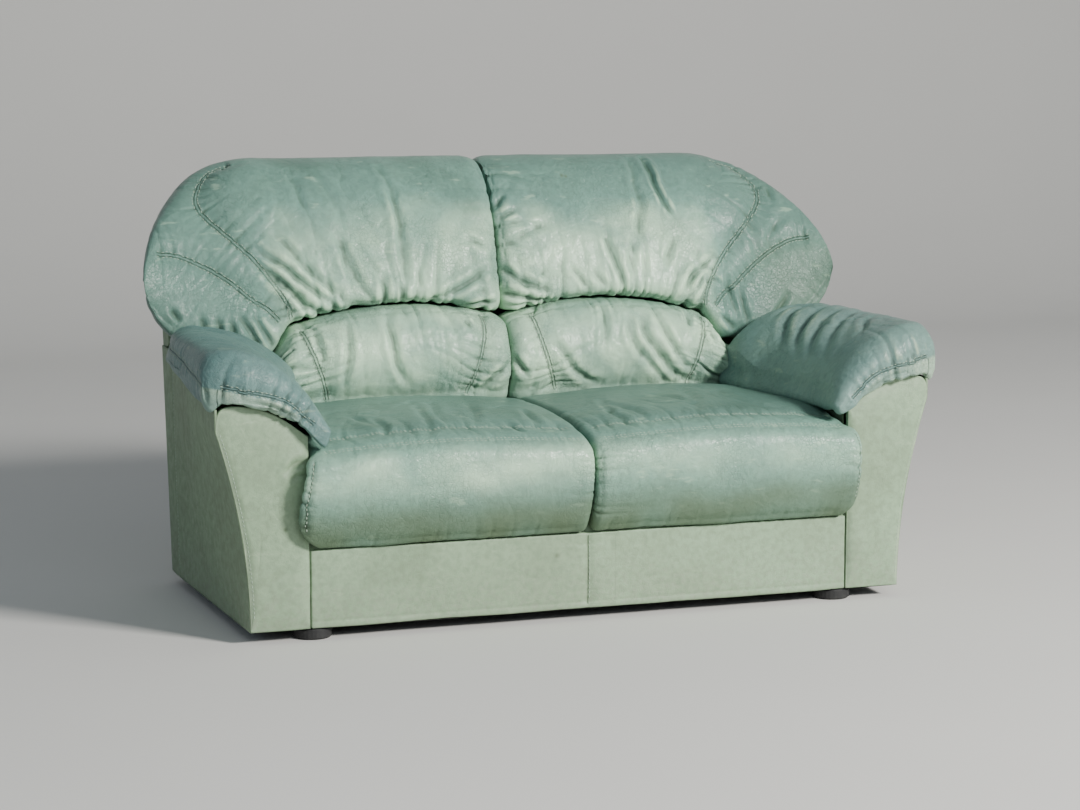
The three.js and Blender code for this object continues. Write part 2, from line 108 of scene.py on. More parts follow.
class SofaColours(bpy.types.PropertyGroup):
    """The colours of the leather, the cover and the thread."""

    seat_hide: bpy.props.FloatVectorProperty(
        name="Seat leather", description="Colour of the seat, lumbar and back leather",
        subtype="COLOR", size=3, min=0.0, max=1.0, default=(0.204, 0.392, 0.308))
    pad_hide: bpy.props.FloatVectorProperty(
        name="Pad leather", description="Colour of the arm pads' leather",
        subtype="COLOR", size=3, min=0.0, max=1.0, default=(0.168, 0.30, 0.275))
    panel_hide: bpy.props.FloatVectorProperty(
        name="Panel cover", description="Colour of the smoother cover on the arms, skirt and rear",
        subtype="COLOR", size=3, min=0.0, max=1.0, default=(0.285, 0.415, 0.265))
    thread: bpy.props.FloatVectorProperty(
        name="Thread", description="Colour of the stitches",
        subtype="COLOR", size=3, min=0.0, max=1.0, default=(0.42, 0.54, 0.42))


def sizes():
    """The sizes set in the scene."""
    return bpy.context.scene.sofa_sizes


def colours():
    """The colours set in the scene."""
    return bpy.context.scene.sofa_colours


# ---- Noise, lines and distances ----
def lattice_value(cell, seed):
    """A number from 0 to 1 for each whole cell: the fraction left of a large sine of its weighted place."""
    weights = np.array([127.1, 311.7, 74.7])[: cell.shape[-1]]
    return np.modf(np.abs(np.sin(cell @ weights + seed * 53.37) * 43758.5453))[0]


def smooth_noise(points, size, seed):
    """Noise from -1 to 1 with features of the given size: lattice values blended smoothly on each axis."""
    scaled = points / size
    base = np.floor(scaled)
    part = scaled - base
    part = part * part * (3 - 2 * part)
    total = np.zeros(len(points))
    for corner in itertools.product((0, 1), repeat=points.shape[1]):
        corner = np.array(corner)
        share = np.prod(np.where(corner == 1, part, 1 - part), axis=1)
        total += share * lattice_value(base + corner, seed)
    return 2 * total - 1


def smooth_step(value, low, high):
    """Rises from 0 at low to 1 at high with level ends: 3t^2 - 2t^3."""
    t = np.clip((value - low) / (high - low), 0, 1)
    return t * t * (3 - 2 * t)


def bell(value, width):
    """1 at value 0, falling away on both sides as exp(-(value / width)^2)."""
    return np.exp(-((value / width) ** 2))


def smooth_path(points, closed=False, steps=16):
    """A Catmull-Rom curve: each span is a cubic whose end slopes are half the chord of the neighbours."""
    p = np.asarray(points, float)
    if closed:
        ext = np.vstack([p[-1:], p, p[:2]])
    else:
        ext = np.vstack([2 * p[:1] - p[1:2], p, 2 * p[-1:] - p[-2:-1]])
    t = np.linspace(0, 1, steps, endpoint=False)[:, None]
    a, b, c, d = (part[:, None] for part in (ext[:-3], ext[1:-2], ext[2:-1], ext[3:]))
    square = (2 * a - 5 * b + 4 * c - d) * t**2
    cube = (3 * b - a - 3 * c + d) * t**3
    spans = 0.5 * (2 * b + (c - a) * t + square + cube)
    line = spans.reshape(-1, p.shape[1])
    return line if closed else np.vstack([line, p[-1:]])


def resample(line, count, closed=False, density=None):
    """Points spread along a line by arc length, closer together where density is higher."""
    if closed:
        line = np.vstack([line, line[:1]])
    step = np.linalg.norm(np.diff(line, axis=0), axis=1)
    if density is not None:
        step = step * density((line[1:] + line[:-1]) / 2)
    reach = np.concatenate([[0], np.cumsum(step)])
    at = np.linspace(0, reach[-1], count, endpoint=not closed)
    return np.column_stack([np.interp(at, reach, line[:, k]) for k in range(line.shape[1])])


def path_field(points, normals, path):
    """Distance to a path, distance along it, and side of it: positive on its left, seen from outside."""
    best = np.full(len(points), np.inf)
    along = np.zeros(len(points))
    side = np.ones(len(points))
    travelled = 0.0
    for start, end in zip(path[:-1], path[1:]):
        step = end - start
        length = max(float(np.linalg.norm(step)), 1e-9)
        rel = points - start
        t = np.clip(rel @ step / length**2, 0, 1)
        gap = np.linalg.norm(rel - t[:, None] * step, axis=1)
        closer = gap < best
        best[closer] = gap[closer]
        along[closer] = travelled + t[closer] * length
        turn = np.sum(np.cross(step, rel[closer]) * normals[closer], axis=1)
        side[closer] = np.where(turn >= 0, 1.0, -1.0)
        travelled += length
    return best, along, side


def path_length(path):
    """The sum of the lengths of a path's steps."""
    return float(np.linalg.norm(np.diff(path, axis=0), axis=1).sum())


# ---- Relief: how seams, gathers and creases move the surface, in millimetres along its normal ----
FAR_FROM_SEAM = 60.0
CREASE_GAIN = 1.8
CREASE_NARROWING = 0.78
WIDEST_FULL_CREASE = 10.0


class Surface:
    """A grid of points with its normals and the relief gathered so far."""

    def __init__(self, grid):
        self.grid = grid
        self.points = grid.reshape(-1, 3)
        self.normals = grid_normals(grid).reshape(-1, 3)
        self.relief = np.zeros(len(self.points))
        self.seam = np.full(len(self.points), FAR_FROM_SEAM)
        self.seam_gap = np.full(len(self.points), FAR_FROM_SEAM)
        self.pale = np.zeros(len(self.points))
        self.soil_and_shade = np.zeros(len(self.points))

    def pin(self, line, axes, facing, count):
        """A path through points given on two axes, laid on the side of the surface that faces that way."""
        flat = resample(smooth_path(line, steps=8), count)
        front = np.flatnonzero(self.normals @ np.asarray(facing, float) > 0.15)
        shown = self.points[front]
        gap = np.zeros((count, len(front)), np.float32)
        for column, axis in enumerate(axes):
            gap += (flat[:, column:column + 1] - shown[None, :, axis]).astype(np.float32) ** 2
        path = shown[np.argmin(gap, axis=1)].astype(float)
        path[:, axes] = flat
        path[1:-1] = (path[:-2] + 2 * path[1:-1] + path[2:]) / 4
        return path

    def near(self, path, reach):
        """The points inside the path's box, widened by reach on every side."""
        inside = (self.points > path.min(0) - reach) & (self.points < path.max(0) + reach)
        return np.flatnonzero(np.all(inside, axis=1))

    def snap(self, path):
        """The surface points nearest to the points of a path, smoothed a little."""
        away = self.points[None].astype(np.float32) - path[:, None].astype(np.float32)
        gap = np.linalg.norm(away, axis=2)
        snapped = self.points[np.argmin(gap, axis=1)].astype(float)
        snapped[1:-1] = (snapped[:-2] + 2 * snapped[1:-1] + snapped[2:]) / 4
        return snapped

    def seam_line(self, path, depth, valley=26.0, welt=0.0, gathers=(), seed=0, mark=None):
        """A sewn seam: a groove in a wide valley of padding that the thread pulls in, with a welt if asked.

        Each is a bell across the seam. gathers holds (side, reach, spacing, depth): sharp valleys at uneven
        steps along the seam, each with its own depth, that die away from it on one side (+1 left, -1 right) or
        on both (0). mark is how far from the seam the sewn lines lie: 0 for one line, more for a line on each
        side.
        """
        chosen = self.near(path, 130)
        gap, along, side = path_field(self.points[chosen], self.normals[chosen], path)
        ends = smooth_step(along, -1, 14) * smooth_step(path_length(path) - along, -1, 14)
        fold = sizes().fold_depth
        pulled_in = 0.45 * bell(gap, 6.0) + 0.75 * bell(gap, valley)
        relief = -depth * pulled_in * (0.35 + 0.65 * ends)
        relief += welt * bell(gap, 4.4)
        for number, (which, reach, spacing, deep) in enumerate(gathers):
            drift = np.column_stack([along, gap * 0.5])
            turn = along / spacing + 0.8 * smooth_noise(drift, spacing * 2.2, seed + number)
            cell = np.round(turn)
            own = lattice_value(np.column_stack([cell, cell]), seed + 3 + number)
            valleys = bell(turn - cell, 0.16) - 0.24
            fade = np.exp(-gap / (reach * (0.35 + 1.1 * own))) * smooth_step(gap, -1, 5)
            on_side = 1.0 if which == 0 else (side == which)
            relief -= fold * deep * (0.15 + 1.1 * own) * valleys * fade * on_side
        self.relief[chosen] += relief
        if mark is not None:
            line = gap * side if mark == 0 else gap - mark
            closer = gap < self.seam_gap[chosen]
            closer &= (along > 1) & (along < path_length(path) - 1)
            self.seam[chosen[closer]] = line[closer]
            self.seam_gap[chosen[closer]] = gap[closer]

    def crease(self, path, depth, width, lean=0.0, seed=0):
        """One crease: a bell-shaped valley between two soft shoulders, deepest at its middle.

        Its line wanders a little, and lean makes one shoulder higher than the other.
        """
        chosen = self.near(path, width * 5)
        points = self.points[chosen]
        wander = np.column_stack([smooth_noise(points, 42.0, seed + k) for k in (1, 2, 3)])
        wander = wander * width * 0.55
        gap, along, side = path_field(points + wander, self.normals[chosen], path)
        length = path_length(path)
        taper = np.sin(np.pi * np.clip(0.05 + 0.93 * along / length, 0, 1)) ** 0.6
        taper *= bell(np.maximum(gap - 2.5 * width, 0), 1.6 * width)
        signed = gap * side
        shape = -bell(gap, width)
        shape += (0.40 + lean) * bell(signed - 2.0 * width, 1.4 * width)
        shape += (0.40 - lean) * bell(signed + 2.0 * width, 1.4 * width)
        self.relief[chosen] += CREASE_GAIN * sizes().fold_depth * depth * shape * taper

    def creases(self, lines, axes, facing, seed):
        """Many creases: each is (depth, width, lean, points on the two axes). Wide ones are kept shallow."""
        for number, (depth, width, lean, line) in enumerate(lines):
            depth *= min(1.0, WIDEST_FULL_CREASE / width) ** 1.5
            path = self.pin(line, axes, facing, 16)
            self.crease(path, depth, CREASE_NARROWING * width, lean, seed + number * 5)

    def swells(self, amount, seed):
        """Loose leather: broad swells with smaller ones on them."""
        p = self.points
        rise = 0.62 * smooth_noise(p, 150.0, seed) + 0.27 * smooth_noise(p, 62.0, seed + 7)
        rise += 0.11 * smooth_noise(p, 24.0, seed + 13)
        self.relief += amount * rise

    def wrinkles(self, stretch, depth, seed, where=1.0):
        """Fine wrinkles: valleys where stretched, warped noise crosses zero, in patches."""
        p = self.points
        warp = 0.5 * smooth_noise(p, 60.0, seed + 1)
        bent = p / np.asarray(stretch, float) + warp[:, None]
        line = 1 - np.abs(smooth_noise(bent, 1.0, seed))
        patch = smooth_step(smooth_noise(p, 120.0, seed + 2), -0.3, 0.5)
        self.relief -= sizes().fold_depth * depth * where * patch * line**5

    def masks(self):
        """Point values for the leather: height over its surroundings, distance to a seam, paleness (polish
        with painted highlight; below zero, deep dye with painted shade) and soil with painted shade.
        """
        field = self.relief.reshape(self.grid.shape[:2])
        blurred = field.copy()
        for _ in range(12):
            around = np.roll(blurred, 1, 1) + np.roll(blurred, -1, 1)
            along = np.vstack([blurred[:1], blurred[:-1]]) + np.vstack([blurred[1:], blurred[-1:]])
            blurred = (blurred + around + along) / 5
        raised = (field - blurred).ravel()
        return {"relief": raised, "seam": self.seam, "pale": self.pale, "soil_and_shade": self.soil_and_shade}

    def moved(self):
        """The grid with each point pushed out along its normal by the relief there."""
        return (self.points + self.normals * self.relief[:, None]).reshape(self.grid.shape)


# ---- Swept shapes and meshes ----
def row_positions(start, end, radius_start, radius_end, spacing, cap_rows=6, ease=None):
    """Rows of a sweep with round ends: position, inset there, and share of full size on the end faces."""
    share = np.linspace(0, 1, cap_rows, endpoint=False)
    if ease is None:
        count = int((end - start - radius_start - radius_end) / spacing) + 2
        body = np.linspace(start + radius_start, end - radius_end, count)
    else:
        body = ease(start + radius_start, end)
    rows = [np.column_stack([np.full(cap_rows, start), np.full(cap_rows, radius_start), share])]
    for radius, edge, way in ((radius_start, start, 1), (radius_end, end, -1)):
        if way < 0:
            rows.append(np.column_stack([body, np.zeros(len(body)), np.ones(len(body))]))
        if radius > 0:
            turn = np.linspace(0, np.pi / 2, int(radius * 1.6 / spacing) + 3, endpoint=False)
            at = edge + way * radius * (1 - np.cos(turn))
            inset = radius * (1 - np.sin(turn))
            ring = np.column_stack([at, inset, np.ones(len(turn))])
            rows.append(ring[::way])
    rows.append(np.column_stack([np.full(cap_rows, end), np.full(cap_rows, radius_end), share])[::-1])
    return np.vstack(rows)


def sweep(outline, rows, place, upright=1.0):
    """Carries an outline through rows. Each row draws it in towards its middle, and place bends it.

    upright is how much of a row's inset is taken off its height.
    """
    low, high = outline.min(0), outline.max(0)
    middle, half = (low + high) / 2, (high - low) / 2
    inset = rows[:, 1][:, None, None] * np.array([1.0, upright])
    drawn = (1 - inset / half) * rows[:, 2][:, None, None]
    uv = middle + (outline - middle)[None] * drawn
    w = np.broadcast_to(rows[:, 0][:, None], uv.shape[:2])
    return np.stack(place(uv[..., 0], uv[..., 1], w), axis=-1)


def grid_normals(grid):
    """Unit normals of a grid closed round its columns: the cross product of its directions, facing out."""
    along = np.gradient(grid, axis=0)
    around = np.roll(grid, -1, axis=1) - np.roll(grid, 1, axis=1)
    normal = np.cross(around, along)
    length = np.linalg.norm(normal, axis=2, keepdims=True)
    normal = normal / np.maximum(length, 1e-9)
    outward = np.sum(normal * (grid - grid.mean(axis=(0, 1))))
    return normal if outward > 0 else -normal


def to_frame(points, side=1):
    """Millimetres from the arm fronts into metres in the frame, on the right (+1) or left (-1) side."""
    return points * MM * np.array([side, 1.0, 1.0]) + np.array([0.0, ARM_FRONT_Y, 0.0])


def mesh_object(name, points, quads, masks):
    """A closed object from points in metres and four-cornered faces, merged and with its faces turned out."""
    mesh = bpy.data.meshes.new(name)
    mesh.vertices.add(len(points))
    mesh.vertices.foreach_set("co", points.astype(np.float32).ravel())
    mesh.loops.add(quads.size)
    mesh.loops.foreach_set("vertex_index", quads.astype(np.int32).ravel())
    mesh.polygons.add(len(quads))
    mesh.polygons.foreach_set("loop_start", np.arange(0, quads.size, quads.shape[1], dtype=np.int32))
    mesh.update(calc_edges=True)
    for mask, values in masks.items():
        layer = mesh.attributes.new(mask, "FLOAT", "POINT")
        layer.data.foreach_set("value", np.asarray(values, np.float32).ravel())
    work = bmesh.new()
    work.from_mesh(mesh)
    bmesh.ops.remove_doubles(work, verts=work.verts, dist=5e-6)
    bmesh.ops.recalc_face_normals(work, faces=work.faces)
    work.to_mesh(mesh)
    work.free()
    mesh.shade_smooth()
    obj = bpy.data.objects.new(name, mesh)
    bpy.context.scene.collection.objects.link(obj)
    return obj


def grid_object(name, grid, masks=None, side=1):
    """A closed object from a grid whose columns join round and whose end rows shrink to a point or a line."""
    rows, cols = grid.shape[:2]
    index = np.arange(rows * cols).reshape(rows, cols)
    after = np.roll(index, -1, axis=1)
    quads = np.stack([index[:-1], after[:-1], after[1:], index[1:]], axis=-1).reshape(-1, 4)
    return mesh_object(name, to_frame(grid.reshape(-1, 3), side), quads, masks or {})


def finish_piece(obj, material, slot, *nodes):
    """Gives a piece its material and the body it rides on, and hides the frame nodes it stands for."""
    obj.data.materials.append(material)
    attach(obj, "root")
    if nodes:
        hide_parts(*nodes)


def stitch_rows(name, obj, paths, side, offsets, slot="cushion_leather", radius=0.9):
    """Stitches along seams: short rounded bars, each a ring of six points carried over a half-sine bulge.

    paths are in millimetres on the right-hand side. offsets are how far each row lies from its seam.
    """
    length = sizes().stitch_length
    pitch = length * 1.45
    centres, tangents, normals = [], [], []
    bpy.context.view_layer.update()
    for path in paths:
        line = to_frame(path, side)
        count = int(path_length(line) / pitch)
        dots = resample(line, max(count, 3))
        steps = np.gradient(dots, axis=0)
        steps /= np.linalg.norm(steps, axis=1, keepdims=True)
        for dot, step in zip(dots[1:-1], steps[1:-1]):
            _, place, normal, _ = obj.closest_point_on_mesh(Vector(dot))
            across = Vector(step).cross(normal).normalized()
            for offset in offsets:
                target = place + across * offset * MM
                _, spot, facing, _ = obj.closest_point_on_mesh(target)
                centres.append(spot)
                tangents.append(step)
                normals.append(facing)
    centres, tangents, normals = (np.array(values, float) for values in (centres, tangents, normals))
    across = np.cross(tangents, normals)
    across /= np.maximum(np.linalg.norm(across, axis=1, keepdims=True), 1e-9)
    tangents = np.cross(normals, across)
    share = np.linspace(0, 1, 5)
    thick = radius * MM * np.sqrt(np.sin(np.pi * np.clip(share, 0.03, 0.97)))
    turn = np.linspace(0, 2 * np.pi, 6, endpoint=False)
    sideways = np.cos(turn)[:, None, None] * across
    raised = (np.sin(turn)[:, None, None] * 0.8 + 0.35) * normals
    reach = ((share - 0.5) * length)[:, None, None, None]
    bars = centres + tangents * reach + (sideways + raised)[None] * thick[:, None, None, None]
    bars = np.moveaxis(bars, 2, 0)
    count = len(centres)
    index = np.arange(count * 30).reshape(count, 5, 6)
    after = np.roll(index, -1, axis=2)
    sides = np.stack([index[:, :-1], after[:, :-1], after[:, 1:], index[:, 1:]], axis=-1).reshape(-1, 4)
    halves = ((0, 1, 2, 3), (0, 3, 4, 5))
    ends = np.concatenate([index[:, row][:, list(half)] for row in (0, 4) for half in halves])
    stitches = mesh_object(name, bars.reshape(-1, 3), np.vstack([sides, ends]), {})
    finish_piece(stitches, thread_material(), slot)


# ---- Lines that several pieces follow, as in the frame ----
ARCH_TOP, ARCH_DROP, ARCH_MIDDLE, ARCH_REACH = 622.0, 26.0, 235.0, 205.0
TIP_Z, TIP_X = 690.0, BACK_HIGH[0] + 2
TOP_Z = BACK_HIGH[2]
BACK_LOW_V = 626.0
PLACE_WIDTH = 600.0
FLARE_TOP_Z = 440.0
KINK_Z = 540.0
REAR_BASE_Y, LOW_RAKE, HIGH_RAKE = 686.0, 0.138, 0.26
ARM_REAR_X = STRIP_HIGH[0]
TOP_ROUNDS_FROM = 520.0
WING_ROUNDS_FROM = 560.0
WING_HANG = 176.0
FRONT, TOP, OUTSIDE = (0, -1, 0), (0, 0, 1), (1, 0, 0)
FRONT_VIEW, PLAN, SIDE_VIEW = (0, 2), (0, 1), (1, 2)


def share_to_tip(x, start):
    """How far x is on its way from start to the wing's tip, from 0 to 1."""
    return np.clip((x - start) / (TIP_X - start), 0, 1)


def back_top(x):
    """Top of the back: level at first, then nearly a quarter ellipse down to the wing's tip."""
    return TIP_Z + (TOP_Z - TIP_Z) * (1 - share_to_tip(x, TOP_ROUNDS_FROM) ** 2) ** 0.56


def back_bottom(x):
    """Bottom of the back: a parabolic arch over the lumbar cushion, blended into the wing's round lower edge.

    The wing's edge hangs below the tip by the root of 1 less the cube of the way to the tip.
    """
    arch = ARCH_TOP + 4 - ARCH_DROP * ((x - ARCH_MIDDLE) / ARCH_REACH) ** 2
    wing = TIP_Z - WING_HANG * np.sqrt(1 - share_to_tip(x, WING_ROUNDS_FROM) ** 3)
    blend = smooth_step(x, 490, 555)
    return arch + (wing - arch) * blend


def back_height(v, x):
    """Height at x of a point that sits at v in the middle: shifted near the middle, scaled in the wing."""
    whole = (v - BACK_LOW_V) / (TOP_Z - BACK_LOW_V)
    below = np.clip((v - BACK_LOW_V) / (850 - BACK_LOW_V), 0, 1)
    shifted = v + (back_bottom(x) - BACK_LOW_V) * (1 - below) + (back_top(x) - TOP_Z) * below
    scaled = back_bottom(x) + (back_top(x) - back_bottom(x)) * whole
    blend = smooth_step(x, 600, 700)
    return shifted + (scaled - shifted) * blend


def rear_face(z):
    """Rear face of the sofa at a height: it leans back, and leans further above the kink in the posts."""
    return REAR_BASE_Y + LOW_RAKE * (np.minimum(z, KINK_Z) - BASE_Z) + HIGH_RAKE * np.maximum(z - KINK_Z, 0)


def flare(z):
    """Outer edge of the arm in front view: upright at the foot, bending out as the square of the height."""
    return 724 + 66 * np.clip((z - BASE_Z) / (FLARE_TOP_Z - BASE_Z), 0, 1) ** 2


def rear_seam(z):
    """Where the side of the arm meets the strip behind it: a straight line that leans back."""
    return 597 + 0.083 * (z - BASE_Z)


# ---- Back cushions ----
BACK_OUTLINE = [
    (600, 627), (572, 632), (560, 655), (574, 700), (598, 765), (634, 832), (672, 880), (715, 918),
    (760, 940), (805, 948), (850, 940), (878, 918), (886, 890), (874, 866), (850, 857), (800, 857),
    (768, 851), (760, 825), (745, 760), (728, 690), (716, 645), (700, 630), (650, 626),
]
WING_SEAM = [
    (585, 936), (625, 928), (656, 910), (677, 884), (685, 856), (672, 828), (642, 797), (602, 760),
    (563, 720), (536, 682), (514, 645), (503, 622), (497, 596),
]
WING_EDGE_SEAM = [
    (790, 750), (750, 747), (710, 732), (662, 706), (620, 676), (580, 642), (550, 624), (525, 594),
]
BACK_FOOT_LINE = [(30, 612), (130, 626), (235, 631), (340, 625), (430, 608), (500, 590)]
BACK_SPLIT_LINE = [(12, 640), (12, 760), (12, 880), (12, 930)]
WING_UNDER_LINE = [(560, 556), (600, 540), (660, 545), (720, 567), (780, 606), (825, 660)]
WING_CROWN_LINE = [(700, 846), (750, 815), (795, 770), (825, 725)]
WING_SEAM_GATHERS = [(1, 40, 27, 4.5), (-1, 50, 30, 6.0), (0, 14, 13, 1.6)]
WING_EDGE_GATHERS = [(1, 30, 24, 3.0), (-1, 36, 23, 3.4), (0, 14, 12, 1.4)]
BACK_CREASES = {
    "right": [
        (7, 11, 0.1, [(5, 695), (45, 670), (105, 645)]),
        (7, 9, 0.0, [(5, 642), (55, 627), (125, 619)]),
        (4, 10, 0.0, [(5, 805), (50, 830)]),
        (4, 10, 0.0, [(5, 832), (30, 865)]),
        (4, 13, 0.1, [(15, 750), (80, 780), (130, 798)]),
        (6, 9, 0.1, [(407, 938), (412, 905), (417, 860), (436, 803)]),
        (5, 13, -0.1, [(373, 935), (363, 880), (361, 820), (335, 760), (310, 690)]),
        (4, 12, 0.0, [(260, 790), (274, 715), (287, 668)]),
        (3, 9, 0.0, [(167, 698), (205, 644)]),
        (3, 9, 0.0, [(220, 690), (250, 646)]),
        (7, 11, 0.1, [(440, 617), (470, 664), (530, 710)]),
        (5, 8, 0.0, [(462, 623), (510, 677)]),
        (4, 12, 0.0, [(400, 693), (436, 766)]),
        (4, 8, 0.0, [(18, 615), (97, 613)]),
        (4, 14, 0.0, [(643, 802), (646, 707)]),
        (4, 12, 0.0, [(680, 747), (730, 801)]),
        (4, 9, 0.0, [(561, 662), (578, 571)]),
        (4, 9, 0.0, [(590, 627), (609, 545)]),
        (5, 9, 0.1, [(716, 615), (668, 556)]),
        (4, 8, 0.0, [(541, 575), (575, 535)]),
        (3, 10, 0.0, [(717, 870), (719, 835)]),
    ],
    "left": [
        (9, 12, 0.1, [(563, 723), (513, 677), (465, 630), (415, 603)]),
        (6, 11, 0.0, [(563, 756), (510, 713), (451, 663), (389, 618)]),
        (5, 12, 0.0, [(459, 712), (363, 624)]),
        (5, 12, 0.0, [(387, 789), (341, 679), (305, 628)]),
        (3, 12, 0.0, [(464, 916), (445, 832)]),
        (3, 14, 0.0, [(399, 915), (359, 806)]),
        (5, 12, 0.1, [(250, 925), (236, 870), (232, 730), (233, 688)]),
        (4, 9, 0.0, [(245, 670), (240, 633)]),
        (6, 11, 0.0, [(38, 696), (102, 660), (169, 631)]),
        (5, 9, 0.0, [(20, 624), (110, 610)]),
        (4, 12, 0.0, [(527, 791), (436, 693)]),
        (4, 10, 0.0, [(281, 702), (286, 628)]),
        (3, 10, 0.0, [(77, 765), (39, 752)]),
        (5, 9, 0.0, [(749, 606), (762, 632)]),
        (5, 9, 0.0, [(690, 560), (698, 610)]),
        (5, 9, 0.0, [(660, 545), (664, 608)]),
        (5, 9, 0.0, [(630, 540), (636, 598)]),
        (5, 10, 0.0, [(567, 540), (617, 607)]),
        (5, 10, 0.0, [(543, 540), (580, 605)]),
    ],
}
BACK_ROWS = 3.7
SPLIT_ROUNDING = 38.0
WING_MIDDLE_Y = 580.0
TIP_WORN_IN = {"left": 20, "right": 6}
FOOT_GATHER = {"left": 7.5, "right": 9.5}
SPLIT_GATHER = {"left": 2.0, "right": 5.0}
# How much each back's wing and top are darkened: deep dye with painted shade.
BACK_SHADE_AND_DYE = {"left": 0.5, "right": 1.0}
BACK_MARKS = [(186, 902, 3.5), (195, 900, 3)]


def wing_rows(start, end):
    """Row positions along the back: even as far as the arms, then closing up to the tip as a sine does."""
    level = np.arange(start, PLACE_WIDTH, BACK_ROWS)
    turn = np.linspace(0, np.pi / 2, int((end - PLACE_WIDTH) * 1.35 / BACK_ROWS))
    return np.concatenate([level, PLACE_WIDTH + (end - PLACE_WIDTH) * np.sin(turn)])


def back_spacing(points):
    """How close the back's outline points stand: fewer behind, where the cushion meets the frame."""
    return np.where((points[:, 0] > 735) & (points[:, 1] < 862), 0.3, 1.0)


def back_place(u, v, w, worn_in):
    """The wing thins towards its tip about its middle plane, as the 3/4 power of a circle's height squared.

    worn_in is how far the tip has been pushed in by use.
    """
    depth = (1 - np.clip((w - PLACE_WIDTH) / 245.0, 0, 1) ** 2) ** 0.75
    across = w - worn_in * smooth_step(w, 620, 810)
    return across, WING_MIDDLE_Y + (u - WING_MIDDLE_Y) * depth, back_height(v, w)


def marked(x, z, behind, marks):
    """Small round marks on a front: a bell about each (x, z, width), pushed out of reach on the rear."""
    return sum(bell(np.hypot(x - at_x, z - at_z) + 9 * behind, width) for at_x, at_z, width in marks)


def build_back(side_name, side):
    """A back cushion and its wing in one cover: a closed outline swept from the split to the wing's tip."""
    outline = resample(smooth_path(BACK_OUTLINE, closed=True), 218, closed=True, density=back_spacing)
    rows = row_positions(BACK_LOW[0], TIP_X - 0.5, SPLIT_ROUNDING, 0, 3.5, ease=wing_rows)
    worn_in = TIP_WORN_IN[side_name]
    hide = Surface(sweep(outline, rows, lambda u, v, w: back_place(u, v, w, worn_in), upright=0.4))
    x, y, z = hide.points.T
    seed = 11 if side > 0 else 47
    hide.swells(sizes().slack / MM, seed)
    shown = smooth_step(750 - y, 0, 60) * (1 - 0.5 * smooth_step(x, 540, 640))
    hide.wrinkles((42, 60, 120), 2.6, seed + 20, shown)
    hide.wrinkles((20, 30, 60), 1.3, seed + 30, shown)
    inner = hide.pin(WING_SEAM, FRONT_VIEW, FRONT, 60)
    edge = hide.pin(WING_EDGE_SEAM, FRONT_VIEW, FRONT, 40)
    hide.seam_line(inner, 9, 26, 3.5, WING_SEAM_GATHERS, seed + 40, 3.4)
    hide.seam_line(edge, 8, 22, 3.2, WING_EDGE_GATHERS, seed + 50, 3.4)
    foot = hide.pin(BACK_FOOT_LINE, FRONT_VIEW, FRONT, 90)
    pulled = FOOT_GATHER[side_name]
    foot_gathers = [(0, 78, 40, pulled), (0, 36, 25, 0.62 * pulled), (0, 14, 17, 0.6)]
    hide.seam_line(foot, 3, 14, 0.0, foot_gathers, seed + 60)
    split = hide.pin(BACK_SPLIT_LINE, FRONT_VIEW, FRONT, 80)
    hide.seam_line(split, 2, 12, 0.0, [(0, 50, 46, SPLIT_GATHER[side_name])], seed + 70)
    under = hide.pin(WING_UNDER_LINE, FRONT_VIEW, FRONT, 80)
    hide.seam_line(under, 3, 14, 0.0, [(0, 34, 27, 3.0)], seed + 75)
    crown = hide.pin(WING_CROWN_LINE, FRONT_VIEW, FRONT, 60)
    hide.seam_line(crown, 1, 14, 0.0, [(0, 20, 17, 1.6)], seed + 78)
    hide.creases(BACK_CREASES[side_name], FRONT_VIEW, FRONT, seed + 80)
    # Paler low in the middle of the back: wear polish with a painted highlight.
    lower = smooth_step(z, 960, 700) * smooth_step(x, 620, 480)
    hide.pale = 0.95 * lower * (0.6 + 0.4 * smooth_noise(hide.points, 90.0, seed + 5))
    # Darker in the wing, more on its lower part, and towards the top: deep dye with painted shade.
    in_wing = smooth_step(x, 500, 620) * (1 + 0.3 * smooth_step(700 - z, 0, 60))
    hide.pale -= BACK_SHADE_AND_DYE[side_name] * (in_wing + 0.5 * smooth_step(z, 760, 930))
    # On the right: painted shade on the lower wing, where the pad's shade falls, then two marks.
    if side > 0:
        hide.soil_and_shade += 0.28 * smooth_step(x, 600, 700) * smooth_step(780 - z, 0, 80)
        hide.soil_and_shade += marked(x, z, y > 700, BACK_MARKS)
    obj = grid_object("back_padding_" + side_name, hide.moved(), hide.masks(), side)
    finish_piece(obj, cushion_material(), "cushion_leather", "back_cushion_" + side_name)
    stitch_rows("back_stitches_" + side_name, obj, [inner, edge], side, (-6.2, 6.2))


